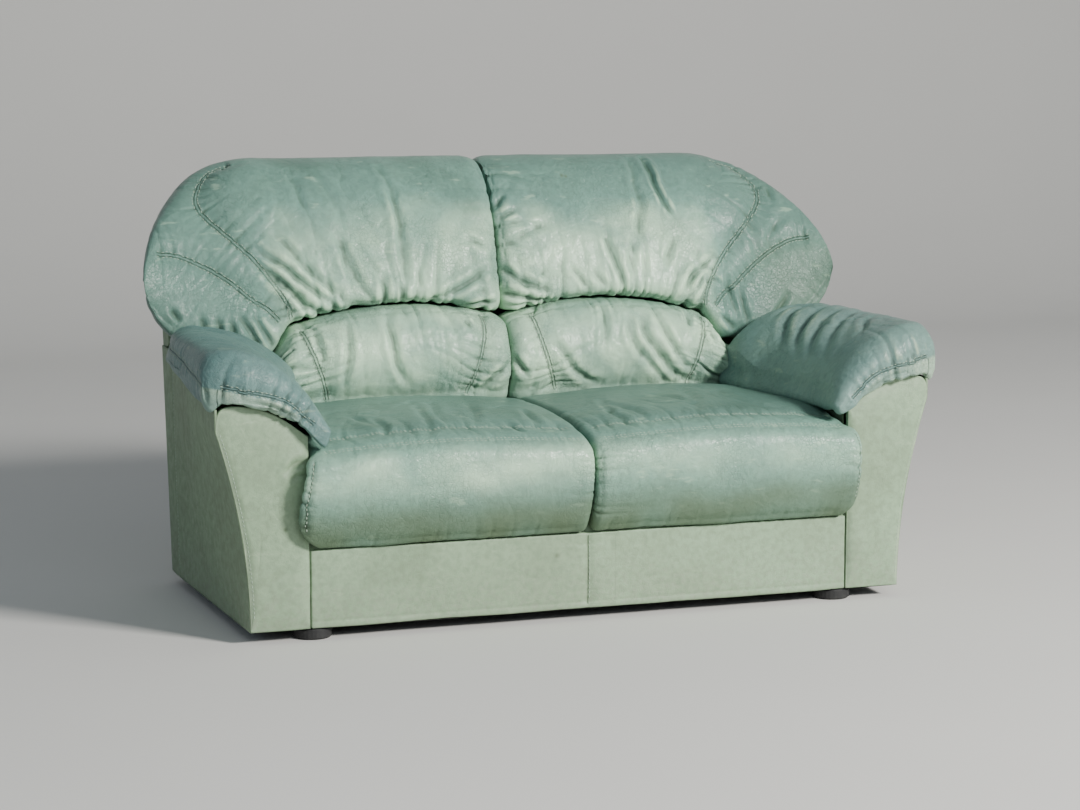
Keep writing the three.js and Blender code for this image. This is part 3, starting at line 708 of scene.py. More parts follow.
# ---- Lumbar cushions ----
LUMBAR_OUTLINE = [
    (540, 394), (518, 404), (508, 430), (494, 458), (486, 495), (490, 535), (507, 578), (540, 611),
    (590, 622), (640, 618), (684, 600), (696, 565), (680, 480), (668, 420), (650, 396), (600, 393),
]
LUMBAR_SEAMS = [
    [(57, 606), (64, 560), (80, 500), (98, 445), (108, 418)],
    [(487, 600), (474, 550), (456, 500), (438, 445), (431, 418)],
]
LUMBAR_RIM = [(40, 600), (235, 612), (430, 595), (520, 560)]
LUMBAR_FOOT = [(40, 424), (235, 424), (430, 424), (520, 424)]
LUMBAR_END = [(508, 430), (526, 480), (528, 530), (512, 570)]
LUMBAR_CREASES = {
    "right": [
        (4, 12, 0.0, [(235, 610), (217, 521)]),
        (6, 12, 0.1, [(316, 583), (333, 524), (386, 460), (429, 429)]),
        (5, 11, 0.0, [(353, 600), (398, 501), (427, 458)]),
        (5, 12, 0.0, [(280, 583), (296, 518), (360, 446), (392, 423)]),
        (4, 9, 0.0, [(442, 585), (436, 553)]),
        (5, 11, 0.0, [(103, 525), (154, 462), (217, 427)]),
        (4, 9, 0.0, [(492, 552), (502, 518)]),
        (5, 10, 0.0, [(5, 495), (35, 459)]),
    ],
    "left": [
        (4, 10, 0.0, [(453, 581), (442, 510)]),
        (5, 12, 0.0, [(380, 590), (392, 489), (395, 444)]),
        (6, 12, 0.1, [(285, 610), (281, 540), (274, 491), (239, 451)]),
        (4, 9, 0.0, [(106, 593), (94, 570)]),
        (6, 11, 0.0, [(8, 490), (30, 470), (79, 426)]),
    ],
}


def lumbar_place(u, v, w):
    """The cushion's top follows the arch: heights are lowered in proportion from its foot to its top."""
    upper = np.clip((v - 420) / 200, 0, 1)
    return w, u, v - (ARCH_TOP - (back_bottom(w) - 4)) * upper


def lumbar_spacing(points):
    """How close the lumbar outline points stand: fewer behind."""
    return np.where(points[:, 0] > 610, 0.3, 1.0)


def build_lumbar(side_name, side):
    """A lumbar cushion: a closed outline swept sideways, drawn in at both ends, under the back's arch."""
    outline = resample(smooth_path(LUMBAR_OUTLINE, closed=True), 140, closed=True, density=lumbar_spacing)
    rows = row_positions(LUMBAR_LOW[0], LUMBAR_HIGH[0] + 8, 30, 30, 3.5)
    hide = Surface(sweep(outline, rows, lumbar_place, upright=0.45))
    z = hide.points[:, 2]
    seed = 101 if side > 0 else 147
    hide.swells(sizes().slack / MM * 0.8, seed)
    hide.wrinkles((36, 50, 90), 2.4, seed + 20)
    hide.wrinkles((17, 30, 40), 1.2, seed + 30)
    seams = [hide.pin(line, FRONT_VIEW, FRONT, 40) for line in LUMBAR_SEAMS]
    for number, seam in enumerate(seams):
        hide.seam_line(seam, 8, 24, 3.2, [(0, 38, 26, 4.6), (0, 12, 12, 1.4)], seed + 40 + number, 3.2)
    rim = hide.pin(LUMBAR_RIM, FRONT_VIEW, FRONT, 50)
    hide.seam_line(rim, 2, 14, 0.0, [(0, 46, 33, 4.4), (0, 18, 17, 1.5)], seed + 60)
    foot = hide.pin(LUMBAR_FOOT, FRONT_VIEW, FRONT, 50)
    hide.seam_line(foot, 2, 14, 0.0, [(0, 44, 38, 3.8), (0, 16, 19, 1.0)], seed + 70)
    end = hide.pin(LUMBAR_END, FRONT_VIEW, FRONT, 50)
    hide.seam_line(end, 2, 14, 0.0, [(0, 52, 24, 10.0), (0, 18, 15, 3.0)], seed + 75)
    hide.creases(LUMBAR_CREASES[side_name], FRONT_VIEW, FRONT, seed + 80)
    # Paler across the middle height: wear polish with a painted highlight.
    hide.pale = 1.15 * bell(z - 520, 120) * (0.7 + 0.3 * smooth_noise(hide.points, 80.0, seed + 5))
    obj = grid_object("lumbar_padding_" + side_name, hide.moved(), hide.masks(), side)
    finish_piece(obj, cushion_material(), "cushion_leather", "lumbar_cushion_" + side_name)
    stitch_rows("lumbar_stitches_" + side_name, obj, seams, side, (-5.6, 5.6))


# ---- Seat cushions ----
SEAT_OUTLINE = [
    (8, 197), (-10, 193), (-36, 224), (-53, 265), (-61, 310), (-62, 345), (-52, 384), (-22, 405),
    (30, 418), (100, 428), (200, 434), (330, 434), (430, 432), (492, 425), (512, 405), (513, 345),
    (508, 288), (484, 271), (300, 269), (120, 269), (34, 269), (13, 262), (8, 240), (7, 215),
]
SEAT_SEAMS = [
    [(22, 52), (150, 50), (300, 47), (450, 49), (578, 52)],
    [(22, -20), (150, -22), (300, -24), (450, -22), (578, -19)],
]
SEAT_CREASES = {
    "right": [
        (5, 16, 0.0, [(269, 300), (285, 180), (293, 60)]),
        (4, 14, 0.0, [(126, 222), (168, 30)]),
        (5, 15, 0.0, [(407, 299), (426, 130), (475, 75)]),
        (4, 16, 0.0, [(365, 397), (297, 100)]),
        (4, 13, 0.0, [(120, 264), (97, 115), (112, 0)]),
    ],
    "left": [
        (6, 16, 0.0, [(293, 274), (320, 120), (348, 0)]),
        (4, 13, 0.0, [(256, 301), (286, 122), (277, 65)]),
        (4, 12, 0.0, [(424, 165), (422, 25)]),
        (4, 14, 0.0, [(163, 312), (227, 67)]),
        (4, 14, 0.0, [(328, 285), (268, 344)]),
        (4, 12, 0.0, [(78, 207), (90, 61)]),
        (3, 11, 0.0, [(157, 82), (136, 3)]),
        (4, 13, 0.0, [(462, 213), (432, 77)]),
    ],
}


SEAT_FOOT = [(30, 203), (200, 203), (400, 203), (570, 203)]
SEAT_INNER_EDGE = [(9, -50, 388), (9, -60, 330), (9, -54, 270), (9, -36, 222)]
SEAT_OUTER_EDGE = {
    "left": [(602, -46, 388), (607, -54, 340), (619, -52, 280), (616, -34, 228)],
    "right": [(602, -46, 388), (607, -54, 340), (609, -52, 280), (606, -34, 228)],
}
SEAT_EDGE_GATHERS = [(0, 34, 26, 3.8), (0, 13, 13, 2.2)]
SEAT_CROWN = 16.0
SEAT_SPREAD_HIGH = 16.0
SEAT_SPREAD_LOW = {"left": 34, "right": 18}
# Pale band on each seat's front roll: painted highlight with wear.
SEAT_FRONT_HIGHLIGHT_AND_WEAR = {"left": 1.0, "right": 0.55}
# How much each seat's top is darkened: painted shade with deeper dye.
SEAT_TOP_SHADE_AND_DYE = {"left": 0.5, "right": 1.0}


def seat_spacing(points):
    """How close the seat's outline points stand: fewer underneath and at the rear."""
    hidden = (points[:, 1] < 300) & (points[:, 0] > 5) | (points[:, 0] > 495)
    return np.where(hidden, 0.25, 1.0)


def seat_place(u, v, w, spread_low):
    """The seat crowns in the middle: its top drops towards both ends as the square of the distance.

    In front of the arms its outer end spreads sideways as the cube of the distance, most near its foot.
    """
    start, end = SEAT_LOW[0], SEAT_HIGH[0]
    edge = (2 * w - start - end) / (end - start)
    drop = SEAT_CROWN * edge**2 * smooth_step(v, 330, 400)
    y = np.where(v < 260, np.minimum(u, 8.3), u)
    spread = SEAT_SPREAD_HIGH + (spread_low - SEAT_SPREAD_HIGH) * smooth_step(v, 400, 250)
    bulge = spread * smooth_step(-y, 4, 30) * np.clip((w - 420) / 177, 0, 1) ** 3
    return w + bulge, y, v - drop


def build_seat(side_name, side):
    """A seat cushion: a closed outline with a full front roll, swept sideways and crowned."""
    outline = resample(smooth_path(SEAT_OUTLINE, closed=True), 262, closed=True, density=seat_spacing)
    rows = row_positions(SEAT_LOW[0], SEAT_HIGH[0], 17, 20, 3.5)
    spread_low = SEAT_SPREAD_LOW[side_name]
    hide = Surface(sweep(outline, rows, lambda u, v, w: seat_place(u, v, w, spread_low)))
    y, z = hide.points[:, 1], hide.points[:, 2]
    seed = 201 if side > 0 else 247
    open_side = smooth_step(z, 262, 300)
    hide.swells(sizes().slack / MM * 0.9, seed)
    upward = 0.35 + 0.65 * smooth_step(y, 10, 60)
    hide.wrinkles((60, 110, 70), 2.6, seed + 20, open_side * upward)
    hide.wrinkles((26, 40, 40), 1.2, seed + 30, open_side * upward)
    seams = [hide.pin(line, PLAN, TOP, 90) for line in SEAT_SEAMS]
    hide.seam_line(seams[0], 6, 28, 1.6, [(0, 44, 34, 3.6), (0, 16, 15, 1.8)], seed + 40)
    hide.seam_line(seams[1], 3, 16, 1.2, [(0, 22, 24, 1.8)], seed + 50)
    inner = hide.snap(smooth_path(SEAT_INNER_EDGE, steps=12))
    outer = hide.snap(smooth_path(SEAT_OUTER_EDGE[side_name], steps=12))
    hide.seam_line(inner, 2.5, 9, 0.0, SEAT_EDGE_GATHERS, seed + 60)
    hide.seam_line(outer, 2.5, 9, 0.0, SEAT_EDGE_GATHERS, seed + 61, 0)
    foot = hide.pin(SEAT_FOOT, FRONT_VIEW, FRONT, 60)
    hide.seam_line(foot, 2, 14, 0.0, [(0, 20, 30, 2.0)], seed + 70)
    hide.creases(SEAT_CREASES[side_name], PLAN, TOP, seed + 80)
    # Painted highlight: a pale band across the front roll, with wear.
    hide.pale = SEAT_FRONT_HIGHLIGHT_AND_WEAR[side_name] * bell(z - 345, 45) * smooth_step(y, 10, -30)
    hide.pale *= 0.6 + 0.4 * smooth_noise(hide.points, 80.0, seed + 5)
    # The top is darkened: painted shade on the upward face, with deeper dye.
    hide.pale -= SEAT_TOP_SHADE_AND_DYE[side_name] * smooth_step(y, 20, 90)
    # Painted shade on the lower front roll, which faces down, above the skirt.
    hide.soil_and_shade = 0.95 * smooth_step(z, 320, 235) * (0.75 + 0.25 * smooth_noise(hide.points, 70.0, seed + 6))
    obj = grid_object("seat_padding_" + side_name, hide.moved(), hide.masks(), side)
    finish_piece(obj, cushion_material(), "cushion_leather", "seat_cushion_" + side_name)
    stitch_rows("seat_stitches_" + side_name, obj, seams, side, (-4.0, 4.0), radius=0.7)
    stitch_rows("seat_edge_stitches_" + side_name, obj, [outer], side, (0.0,), radius=1.3)


# ---- Arm pads ----
PAD_OUTLINE = [
    (583, 424), (612, 440), (645, 467), (685, 488), (732, 500), (775, 501), (798, 487), (811, 505),
    (815, 545), (809, 580), (790, 599), (755, 604), (715, 596), (675, 576), (640, 547), (608, 508),
    (584, 466), (572, 436),
]
PAD_SEAM = [
    (815, 534), (799, 533), (766, 526), (727, 517), (684, 508), (651, 496), (622, 469), (598, 448), (576, 432),
]
PAD_HEART = [(575, 432), (620, 462), (680, 494), (740, 512), (800, 515), (815, 520)]
PAD_FLANK_SEAM = [(12, 533), (120, 546), (300, 564), (510, 568)]
PAD_CORNER_SEAM = [(786, 528), (788, 512), (787, 498), (783, 486)]
GUSSET_TWISTS = [
    (4, 9, 0.1, [(735, 500), (690, 492), (640, 470)]),
    (4, 9, 0.1, [(700, 486), (650, 468), (612, 440)]),
]
PAD_CREASES = {
    "right": [
        (6, 14, 0.1, [(775, 500), (700, 470), (630, 400), (590, 330)]),
        (6, 14, 0.1, [(782, 440), (710, 400), (640, 330), (595, 260)]),
        (5, 14, 0.1, [(785, 370), (715, 330), (650, 265), (600, 200)]),
        (5, 15, 0.1, [(780, 300), (715, 260), (655, 200), (610, 140)]),
        (4, 12, 0.0, [(770, 525), (700, 505), (620, 450)]),
        (4, 13, 0.0, [(770, 200), (720, 160), (670, 90)]),
    ],
    "left": [
        (4, 16, 0.1, [(770, 470), (700, 430), (620, 350)]),
        (4, 16, 0.1, [(780, 350), (705, 310), (640, 230)]),
        (4, 15, 0.1, [(775, 230), (710, 190), (650, 120)]),
        (3, 14, 0.0, [(780, 130), (730, 100), (690, 50)]),
        (3, 12, 0.0, [(760, 520), (690, 500), (630, 460)]),
    ],
}
PAD_FALL = 66.0
PAD_MIDDLE = (690.0, 535.0)
PAD_DROOP = 8.0
PAD_INNER_REACH = (14.0, 52.0)
PAD_INNER_DROP = 7.0
PAD_INNER_LIFT = 36.0
PAD_UNDER_LIFT = 34.0
PAD_REAR_TUCK = (46.0, 12.0)
PAD_CORNER_SWEEP = 40.0
PAD_TIP_DROOP = {"left": 2.0, "right": 0.0}
# How much each pad is darkened outside the gusset: above zero deep dye with painted shade, below zero painted
# light.
PAD_DYE_SHADE_AND_LIGHT = {"left": 0.25, "right": -0.12}


def pad_grid(tip_droop):
    """The arm pad: an outline carried back along y.

    Over the first stretch the outline above the front seam is squashed onto the seam by the height of a
    quarter ellipse, so that the top rolls down to the seam, with the gusset's face below it. The gusset
    droops at the front, by more at its inner tip. Further back the inner side reaches in and rises over the
    seat, and the outer side tucks in and lifts off the side cover, each by a smooth step along the pad. The
    front corner is swept back as the square of the distance outwards. Both ends are drawn in towards a heart
    line, which bends from the arched front to the pad's middle.
    """
    outline = resample(smooth_path(PAD_OUTLINE, closed=True), 180, closed=True)
    across, height = outline.T
    rows = row_positions(PAD_LOW[1], PAD_HIGH[1], 14, 30, 3.9, cap_rows=9)
    back = rows[:, :1]
    x = np.repeat(across[None], len(rows), axis=0)
    z = np.repeat(height[None], len(rows), axis=0)

    seam = smooth_path(PAD_SEAM)
    seam_z = np.interp(across, seam[::-1, 0], seam[::-1, 1])
    fall = np.clip((back - PAD_LOW[1]) / PAD_FALL, 0, 1)
    rise = np.maximum(np.sqrt(1 - (1 - fall) ** 2), 0.03)
    z -= np.maximum(height - seam_z, 0) * (1 - rise)
    tip = 1 + tip_droop * smooth_step(-across, -620, -585)
    z -= PAD_DROOP * smooth_step(-back, -2, 16) * smooth_step(seam_z - height, -2, 14) * tip

    inward = np.clip((715 - across) / 140, 0, 1)
    always, further = PAD_INNER_REACH
    drawn_back = 1 - 0.45 * smooth_step(back, 490, 545)
    x -= (always + further * smooth_step(back, 90, 470) * drawn_back) * inward
    z -= PAD_INNER_DROP * smooth_step(back, 5, 40) * inward * (height < 470)
    z += PAD_INNER_LIFT * smooth_step(back, 330, 470) * inward * (height > 470)

    outward = np.clip((across - 700) / 115, 0, 1)
    tuck = np.clip((back - 330) / 215, 0, 1) ** 2
    tuck_in, tuck_down = PAD_REAR_TUCK
    x -= tuck_in * tuck * outward
    z -= tuck_down * tuck * outward
    under = smooth_step(seam_z - height, -6, 20) * smooth_step(across, 720, 790)
    z += PAD_UNDER_LIFT * smooth_step(back, 20, 480) * under

    heart_x, heart_z = np.array(PAD_HEART, float).T
    straight = smooth_step(back, 60, 300)
    middle_x = np.clip(across, 590, 800) * (1 - straight) + PAD_MIDDLE[0] * straight
    middle_z = np.interp(across, heart_x, heart_z) * (1 - straight) + PAD_MIDDLE[1] * straight
    half_height = np.where(back < 200, 50.0, 85.0)
    drawn = (1 - rows[:, 1:2] / half_height) * rows[:, 2:]
    corner = PAD_CORNER_SWEEP * np.clip((across - 715) / 100, 0, 1) ** 2
    y = back + corner * smooth_step(back, 170, 10)
    return np.stack([middle_x + (x - middle_x) * drawn, y, middle_z + (z - middle_z) * drawn], axis=-1)


def build_pad(side_name, side):
    """An arm pad with its gathered front seam, the seam along its outer flank, and the gusset's twists."""
    hide = Surface(pad_grid(PAD_TIP_DROOP[side_name]))
    x, y, z = hide.points.T
    seed = 301 if side > 0 else 347
    hide.swells(sizes().slack / MM * 0.8, seed)
    hide.wrinkles((70, 42, 60), 2.2, seed + 20, smooth_step(y, -10, 60))
    hide.wrinkles((24, 20, 30), 1.1, seed + 30)
    flat = resample(smooth_path(PAD_SEAM[1:-1]), 70)
    seam = hide.snap(np.column_stack([flat[:, 0] - 6, np.full(70, PAD_LOW[1] + 5), flat[:, 1]]))
    hide.seam_line(seam, 6, 13, 3.0, [(0, 44, 29, 7.5), (0, 18, 19, 2.4)], seed + 40, 2.6)
    flank = hide.pin(PAD_FLANK_SEAM, SIDE_VIEW, OUTSIDE, 60)
    hide.creases(GUSSET_TWISTS, FRONT_VIEW, FRONT, seed + 70)
    hide.seam_line(flank, 3.5, 14, 1.0, [(0, 22, 26, 2.4)], seed + 50, 0)
    corner = hide.pin(PAD_CORNER_SEAM, FRONT_VIEW, FRONT, 20)
    hide.seam_line(corner, 2, 9, 0.0, [(0, 20, 14, 2.0)], seed + 60, 0)
    hide.creases(PAD_CREASES[side_name], PLAN, TOP, seed + 80)
    seam_x, seam_z = np.array(PAD_SEAM[::-1], float).T
    front_seam = np.interp(x, seam_x, seam_z)
    gusset = smooth_step(front_seam - z, 0, 8) * smooth_step(y, 45, 15) * smooth_step(x, 590, 650)
    hide.pale = 0.62 * gusset * (0.7 + 0.3 * smooth_noise(hide.points, 60.0, seed + 5))
    # Outside the gusset the left pad is darkened, deep dye with painted shade, and the right pad's inner side
    # is lightened as painted light.
    hide.pale -= PAD_DYE_SHADE_AND_LIGHT[side_name] * (1 - gusset)
    obj = grid_object("arm_padding_" + side_name, hide.moved(), hide.masks(), side)
    finish_piece(obj, pad_material(), "pad_leather", "arm_pad_" + side_name)
    stitch_rows("arm_stitches_" + side_name, obj, [seam, flank], side, (-5.0, 5.0), "pad_leather", 0.8)


# ---- Covers: arm fronts, arm sides, skirt, strips and rear ----
ARM_TOP = [(785, 474), (768, 488), (732, 488), (685, 476), (647, 456), (604, 424)]
ARM_FRONT_MIDDLE = (680.0, 262.0)
ARM_FRONT_SWELL = 5.5
ARM_FRONT_RINGS = 44
ARM_FRONT_DENTS = [
    (4, 9, 0.1, [(648, 350), (630, 364), (606, 371)]),
    (3, 8, 0.0, [(640, 334), (624, 345), (606, 349)]),
    (2, 12, 0.0, [(650, 150), (690, 110)]),
]
ARM_FRONT_SPOT = [(651, 235, 4.0)]


def arm_outline():
    """The arm in front view: up the flare, down along the pad's underside, and straight down at the seat."""
    heights = np.linspace(BASE_Z, FLARE_TOP_Z, 60)
    outer = np.column_stack([flare(heights), heights])
    top = smooth_path([(790, FLARE_TOP_Z)] + ARM_TOP)
    inner = np.array([[ARM_LOW[0], 424], [ARM_LOW[0], BASE_Z]])
    return np.vstack([outer, top[1:], inner])


def build_arm_front(side_name, side):
    """A padded plate: rings grow from its middle to its edge, go straight back and close again behind.

    The face swells forwards, by 1 less the tenth power of the distance from the middle.
    """
    outline = resample(arm_outline(), 210, closed=True)
    middle = np.array(ARM_FRONT_MIDDLE)
    depth = ARM_HIGH[1] - ARM_LOW[1]
    rings = ARM_FRONT_RINGS
    share = np.concatenate([np.linspace(0, 0.985, rings), np.ones(6), [0.5, 0.0]])
    back = np.concatenate([np.zeros(rings), depth * np.linspace(0, 1, 6), [depth, depth]])
    swell = ARM_FRONT_SWELL * (1 - np.concatenate([np.linspace(0, 1, rings) ** 10, np.ones(8)]))
    flat = middle + (outline - middle)[None] * share[:, None, None]
    depth_y = np.broadcast_to((back - swell)[:, None], flat.shape[:2])
    hide = Surface(np.stack([flat[..., 0], depth_y, flat[..., 1]], axis=-1))
    points = hide.points
    x, y, z = points.T
    seed = 401 if side > 0 else 447
    shown = smooth_step(y, 4, -2)
    hide.relief += 1.6 * smooth_noise(points, 110.0, seed) * shown
    hide.relief += 0.6 * smooth_noise(points, 40.0, seed + 1) * shown
    hide.wrinkles((30, 50, 45), 0.7, seed + 20, shown)
    if side < 0:
        hide.creases(ARM_FRONT_DENTS, FRONT_VIEW, FRONT, seed)
        hide.soil_and_shade = marked(x, z, y > 0, ARM_FRONT_SPOT)
    heights = np.array([50, 130, 220, 310, 390, 440.0])
    piping = hide.pin(np.column_stack([flare(heights) - 7, heights]), FRONT_VIEW, FRONT, 60)
    hide.seam_line(piping, 1.0, 6, 0.0, [], seed + 40)
    hide.pale = 0.9 * bell(np.abs(x - flare(z)), 7) * (0.5 + 0.5 * smooth_noise(points, 24.0, seed + 5))
    obj = grid_object("arm_front_cover_" + side_name, hide.moved(), hide.masks(), side)
    finish_piece(obj, panel_material(), "panel_vinyl", "arm_front_panel_" + side_name)
    stitch_rows("arm_front_stitches_" + side_name, obj, [piping], side, (0.0,), "panel_vinyl")


def wall_grid(outer, inner):
    """A thin closed wall: each row loops up the outer face and down the inner, and the ends pinch shut."""
    loop = np.concatenate([outer, inner[:, ::-1]], axis=1)
    middle = (outer + inner) / 2
    ends = np.concatenate([middle, middle[:, ::-1]], axis=1)
    return np.concatenate([ends[:1], loop, ends[-1:]])


def fabric_rise(points, broad, fine, seed):
    """Slow waves in a stretched cover: broad and fine, each a (height, size) of noise."""
    flat = points.reshape(-1, 3)
    waves = broad[0] * smooth_noise(flat, broad[1], seed) + fine[0] * smooth_noise(flat, fine[1], seed + 1)
    return waves.reshape(points.shape[:-1])


def build_arm_side(side_name, side):
    """The side of the arm: straight rows run back from the flared front to the upright rear seam.

    Its top edge rises with the pad from front to rear.
    """
    along = np.linspace(0, 1, 95)[:, None]
    level = np.linspace(0, 1, 75)[None]
    top = 484 + 46 * along
    z = BASE_Z + (top - BASE_Z) * level
    x = flare(z) * (1 - along) + ARM_REAR_X * along
    y = 1.0 * (1 - along) + rear_seam(z) * along
    p = np.stack([x, y, z], axis=-1)
    seed = 501 if side > 0 else 547
    soft = np.sin(np.pi * np.clip(along, 0, 1)) ** 0.5 * np.sin(np.pi * level) ** 0.5
    rise = fabric_rise(p, (1.6, 130.0), (0.7, 50.0), seed) * soft
    outer = p + np.stack([rise + 1.0, 0 * z, 0 * z], axis=-1)
    inner = p - np.array([SHELL, 0, 0])
    obj = grid_object("arm_side_cover_" + side_name, wall_grid(outer, inner), None, side)
    finish_piece(obj, panel_material(), "panel_vinyl", "arm_outer_panel_" + side_name)
    seam = np.stack([ARM_REAR_X + 1 + 0 * level[0], rear_seam(z[-1]) - 9, z[-1]], axis=-1)[2:-2]
    stitch_rows("arm_side_stitches_" + side_name, obj, [seam], side, (0.0,), "panel_vinyl")


def build_strip(side_name, side):
    """The narrow strip behind the side of the arm, on the same upright plane, bulging as a root of a sine."""
    z = np.linspace(BASE_Z, STRIP_HIGH[2], 90)[:, None]
    share = np.linspace(0, 1, 24)[None]
    y = (rear_seam(z) + 1.5) * (1 - share) + rear_face(z) * share
    bulge = 1.8 * np.sin(np.pi * share) ** 0.6
    outer = np.stack([ARM_REAR_X + bulge + 0 * z, y, z + 0 * y], axis=-1)
    inner = np.stack([ARM_REAR_X - SHELL + 0 * y, y, z + 0 * y], axis=-1)
    obj = grid_object("rear_strip_cover_" + side_name, wall_grid(outer, inner), None, side)
    finish_piece(obj, panel_material(), "panel_vinyl", "back_side_panel_" + side_name)


SKIRT_ROUNDING = 4.0
SKIRT_FLANGE = 50.0
SKIRT_SEAM = [(0, 32), (1, 110), (0, 184)]
SKIRT_STAIN_X = -420.0
SKIRT_MARK = [(-69, 143, 4.5)]


def build_apron():
    """The skirt under the seat: a rounded section swept across, pulled in at the upright seam in its middle.

    Its cover carries on upwards behind, as a thin flange up the face of the front rail.
    """
    low, high = APRON_LOW, APRON_HIGH
    radius = SKIRT_ROUNDING
    turn = np.linspace(0, np.pi / 2, 6)
    near, far = radius * (1 - np.cos(turn)), radius * (1 - np.sin(turn))
    rise = np.linspace(low[2] + radius, high[2] - radius, 60)[1:-1]
    face = np.column_stack([np.full(58, low[1]), rise])
    front_high = np.column_stack([low[1] + near, high[2] - far])
    front_low = np.column_stack([low[1] + far, low[2] + near])
    inner, flange_top = high[1] - 0.2, high[2] + SKIRT_FLANGE
    face_of_flange = inner - 1.8
    rear = np.array([
        [face_of_flange, high[2]], [face_of_flange, flange_top], [inner, flange_top], [inner, low[2]],
    ])
    outline = np.vstack([front_low, face, front_high, rear])
    rows = row_positions(low[0] + 1, high[0] - 1, 4, 4, 5.2, cap_rows=3)
    hide = Surface(sweep(outline, rows, lambda u, v, w: (w, u, v)))
    x, y, z = hide.points.T
    shown = smooth_step(y, 8, 2)
    hide.relief += fabric_rise(hide.points, (1.5, 160.0), (0.5, 45.0), 601) * shown
    hide.wrinkles((45, 50, 60), 0.8, 621, shown)
    seam = hide.pin(SKIRT_SEAM, FRONT_VIEW, FRONT, 40)
    hide.seam_line(seam, 3.0, 12, 0.0, [(0, 24, 30, 1.0)], 640, 0)
    hide.relief -= 1.0 * bell(z - low[2] - 14, 3.0) * shown
    patch = smooth_step(80 - np.abs(x - SKIRT_STAIN_X), 0, 26) * smooth_step(z, 88, 118)
    hide.soil_and_shade = 0.26 * patch * (0.7 + 0.3 * smooth_noise(hide.points, 30.0, 603)) * shown
    hide.soil_and_shade += marked(x, z, 0, SKIRT_MARK) * shown
    obj = grid_object("skirt_cover", hide.moved(), hide.masks())
    finish_piece(obj, panel_material(), "panel_vinyl", "front_apron")
    stitch_rows("skirt_stitches", obj, [seam[2:-2]], 1, (4.0,), "panel_vinyl")


REAR_TOP = 853.0
REAR_TOP_V = 857.0
REAR_TURN = 72.0
REAR_SEAM_Z = 815.0


def build_rear_cover():
    """The cover across the back: it leans with the posts, and its top follows the hard edge under the roll.

    Above the arms each end turns forwards over the outer face of the board behind the wing.
    """
    half = np.linspace(0, REAR_HIGH[0], 75)
    across = np.concatenate([-half[:0:-1], half])
    turned = np.linspace(0, 1, 9)[1:]
    x = np.concatenate([np.full(8, across[0]), across, np.full(8, across[-1])])[:, None]
    forward = np.concatenate([turned[::-1], np.zeros(len(across)), turned])[:, None]
    reach = np.abs(x)
    under_roll = back_height(REAR_TOP_V, np.maximum(reach, PLACE_WIDTH)) - 3
    high = np.where(reach <= PLACE_WIDTH, REAR_TOP, np.minimum(REAR_TOP, under_roll))
    level = np.linspace(0, 1, 80)[None]
    z = BASE_Z + (high - BASE_Z) * level
    depth = 1.5 + (REAR_TURN - 1.5) * smooth_step(z, STRIP_HIGH[2], STRIP_HIGH[2] + 6)
    p = np.stack([x + 0 * z, rear_face(z) - forward * depth, z], axis=-1)
    soft = (np.sin(np.pi * level) ** 0.5) * smooth_step(REAR_HIGH[0] - reach, 0, 60)
    rise = fabric_rise(p, (2.2, 190.0), (0.8, 60.0), 701) * soft
    corner = smooth_step(REAR_HIGH[0] - reach, 12, 0)
    outer = p + np.stack([np.sign(x) * corner + 0 * z, (rise + 1.0) * (forward == 0), 0 * z], axis=-1)
    thin = np.stack([np.sign(x) * SHELL * corner + 0 * z, SHELL * (1 - forward) + 0 * z, 0 * z], axis=-1)
    obj = grid_object("rear_cover", wall_grid(outer, p - thin))
    finish_piece(obj, panel_material(), "panel_vinyl", "back_outer_panel")
    heights = np.full(60, REAR_SEAM_Z)
    seam = np.column_stack([np.linspace(-740, 740, 60), rear_face(heights), heights])
    stitch_rows("rear_stitches", obj, [seam], 1, (0.0,), "panel_vinyl")


# ---- Node helpers ----
FLOAT, VECTOR = "NodeSocketFloat", "NodeSocketVector"
NOISE_ROUGHNESS = 0.55


def put(tree, kind, **sets):
    """A node whose properties and inputs are set by name."""
    node = tree.nodes.new(kind)
    for key, value in sets.items():
        if hasattr(node, key):
            setattr(node, key, value)
        else:
            feed(tree, value, node.inputs[key])
    return node


def feed(tree, value, socket):
    """Links a socket's value into another socket, or sets a plain value on it."""
    if isinstance(value, bpy.types.NodeSocket):
        tree.links.new(value, socket)
    else:
        socket.default_value = value


def calc(tree, operation, a, b=0.0, clamp=False):
    """One Math node on two values."""
    node = tree.nodes.new("ShaderNodeMath")
    node.operation = operation
    node.use_clamp = clamp
    feed(tree, a, node.inputs[0])
    feed(tree, b, node.inputs[1])
    return node.outputs[0]


def remap(tree, value, low, high, to_low=0.0, to_high=1.0):
    """A smooth step between two values."""
    node = tree.nodes.new("ShaderNodeMapRange")
    node.interpolation_type = "SMOOTHSTEP"
    for name, number in (("From Min", low), ("From Max", high), ("To Min", to_low), ("To Max", to_high)):
        feed(tree, number, node.inputs[name])
    feed(tree, value, node.inputs["Value"])
    return node.outputs["Result"]


def blend(tree, share, a, b):
    """Colour a turning into colour b as share goes from 0 to 1."""
    node = tree.nodes.new("ShaderNodeMix")
    node.data_type = "RGBA"
    feed(tree, share, node.inputs[0])
    feed(tree, a, node.inputs[6])
    feed(tree, b, node.inputs[7])
    return node.outputs[2]


def noise(tree, vector, scale, detail=3.0, distortion=0.0):
    """Fractal noise placed by a vector."""
    node = put(tree, "ShaderNodeTexNoise", Vector=vector, Scale=scale, Detail=detail, Distortion=distortion)
    node.inputs["Roughness"].default_value = NOISE_ROUGHNESS
    return node.outputs["Fac"]


def cells(tree, vector, scale):
    """Distance to the nearest edge between cells."""
    node = put(tree, "ShaderNodeTexVoronoi", feature="DISTANCE_TO_EDGE", Vector=vector, Scale=scale)
    return node.outputs["Distance"]


def rgba(colour):
    """A colour with full cover."""
    return (*colour, 1.0)


def times(colour, factor):
    """A colour made darker or lighter, with full cover."""
    return rgba(factor * part for part in colour)


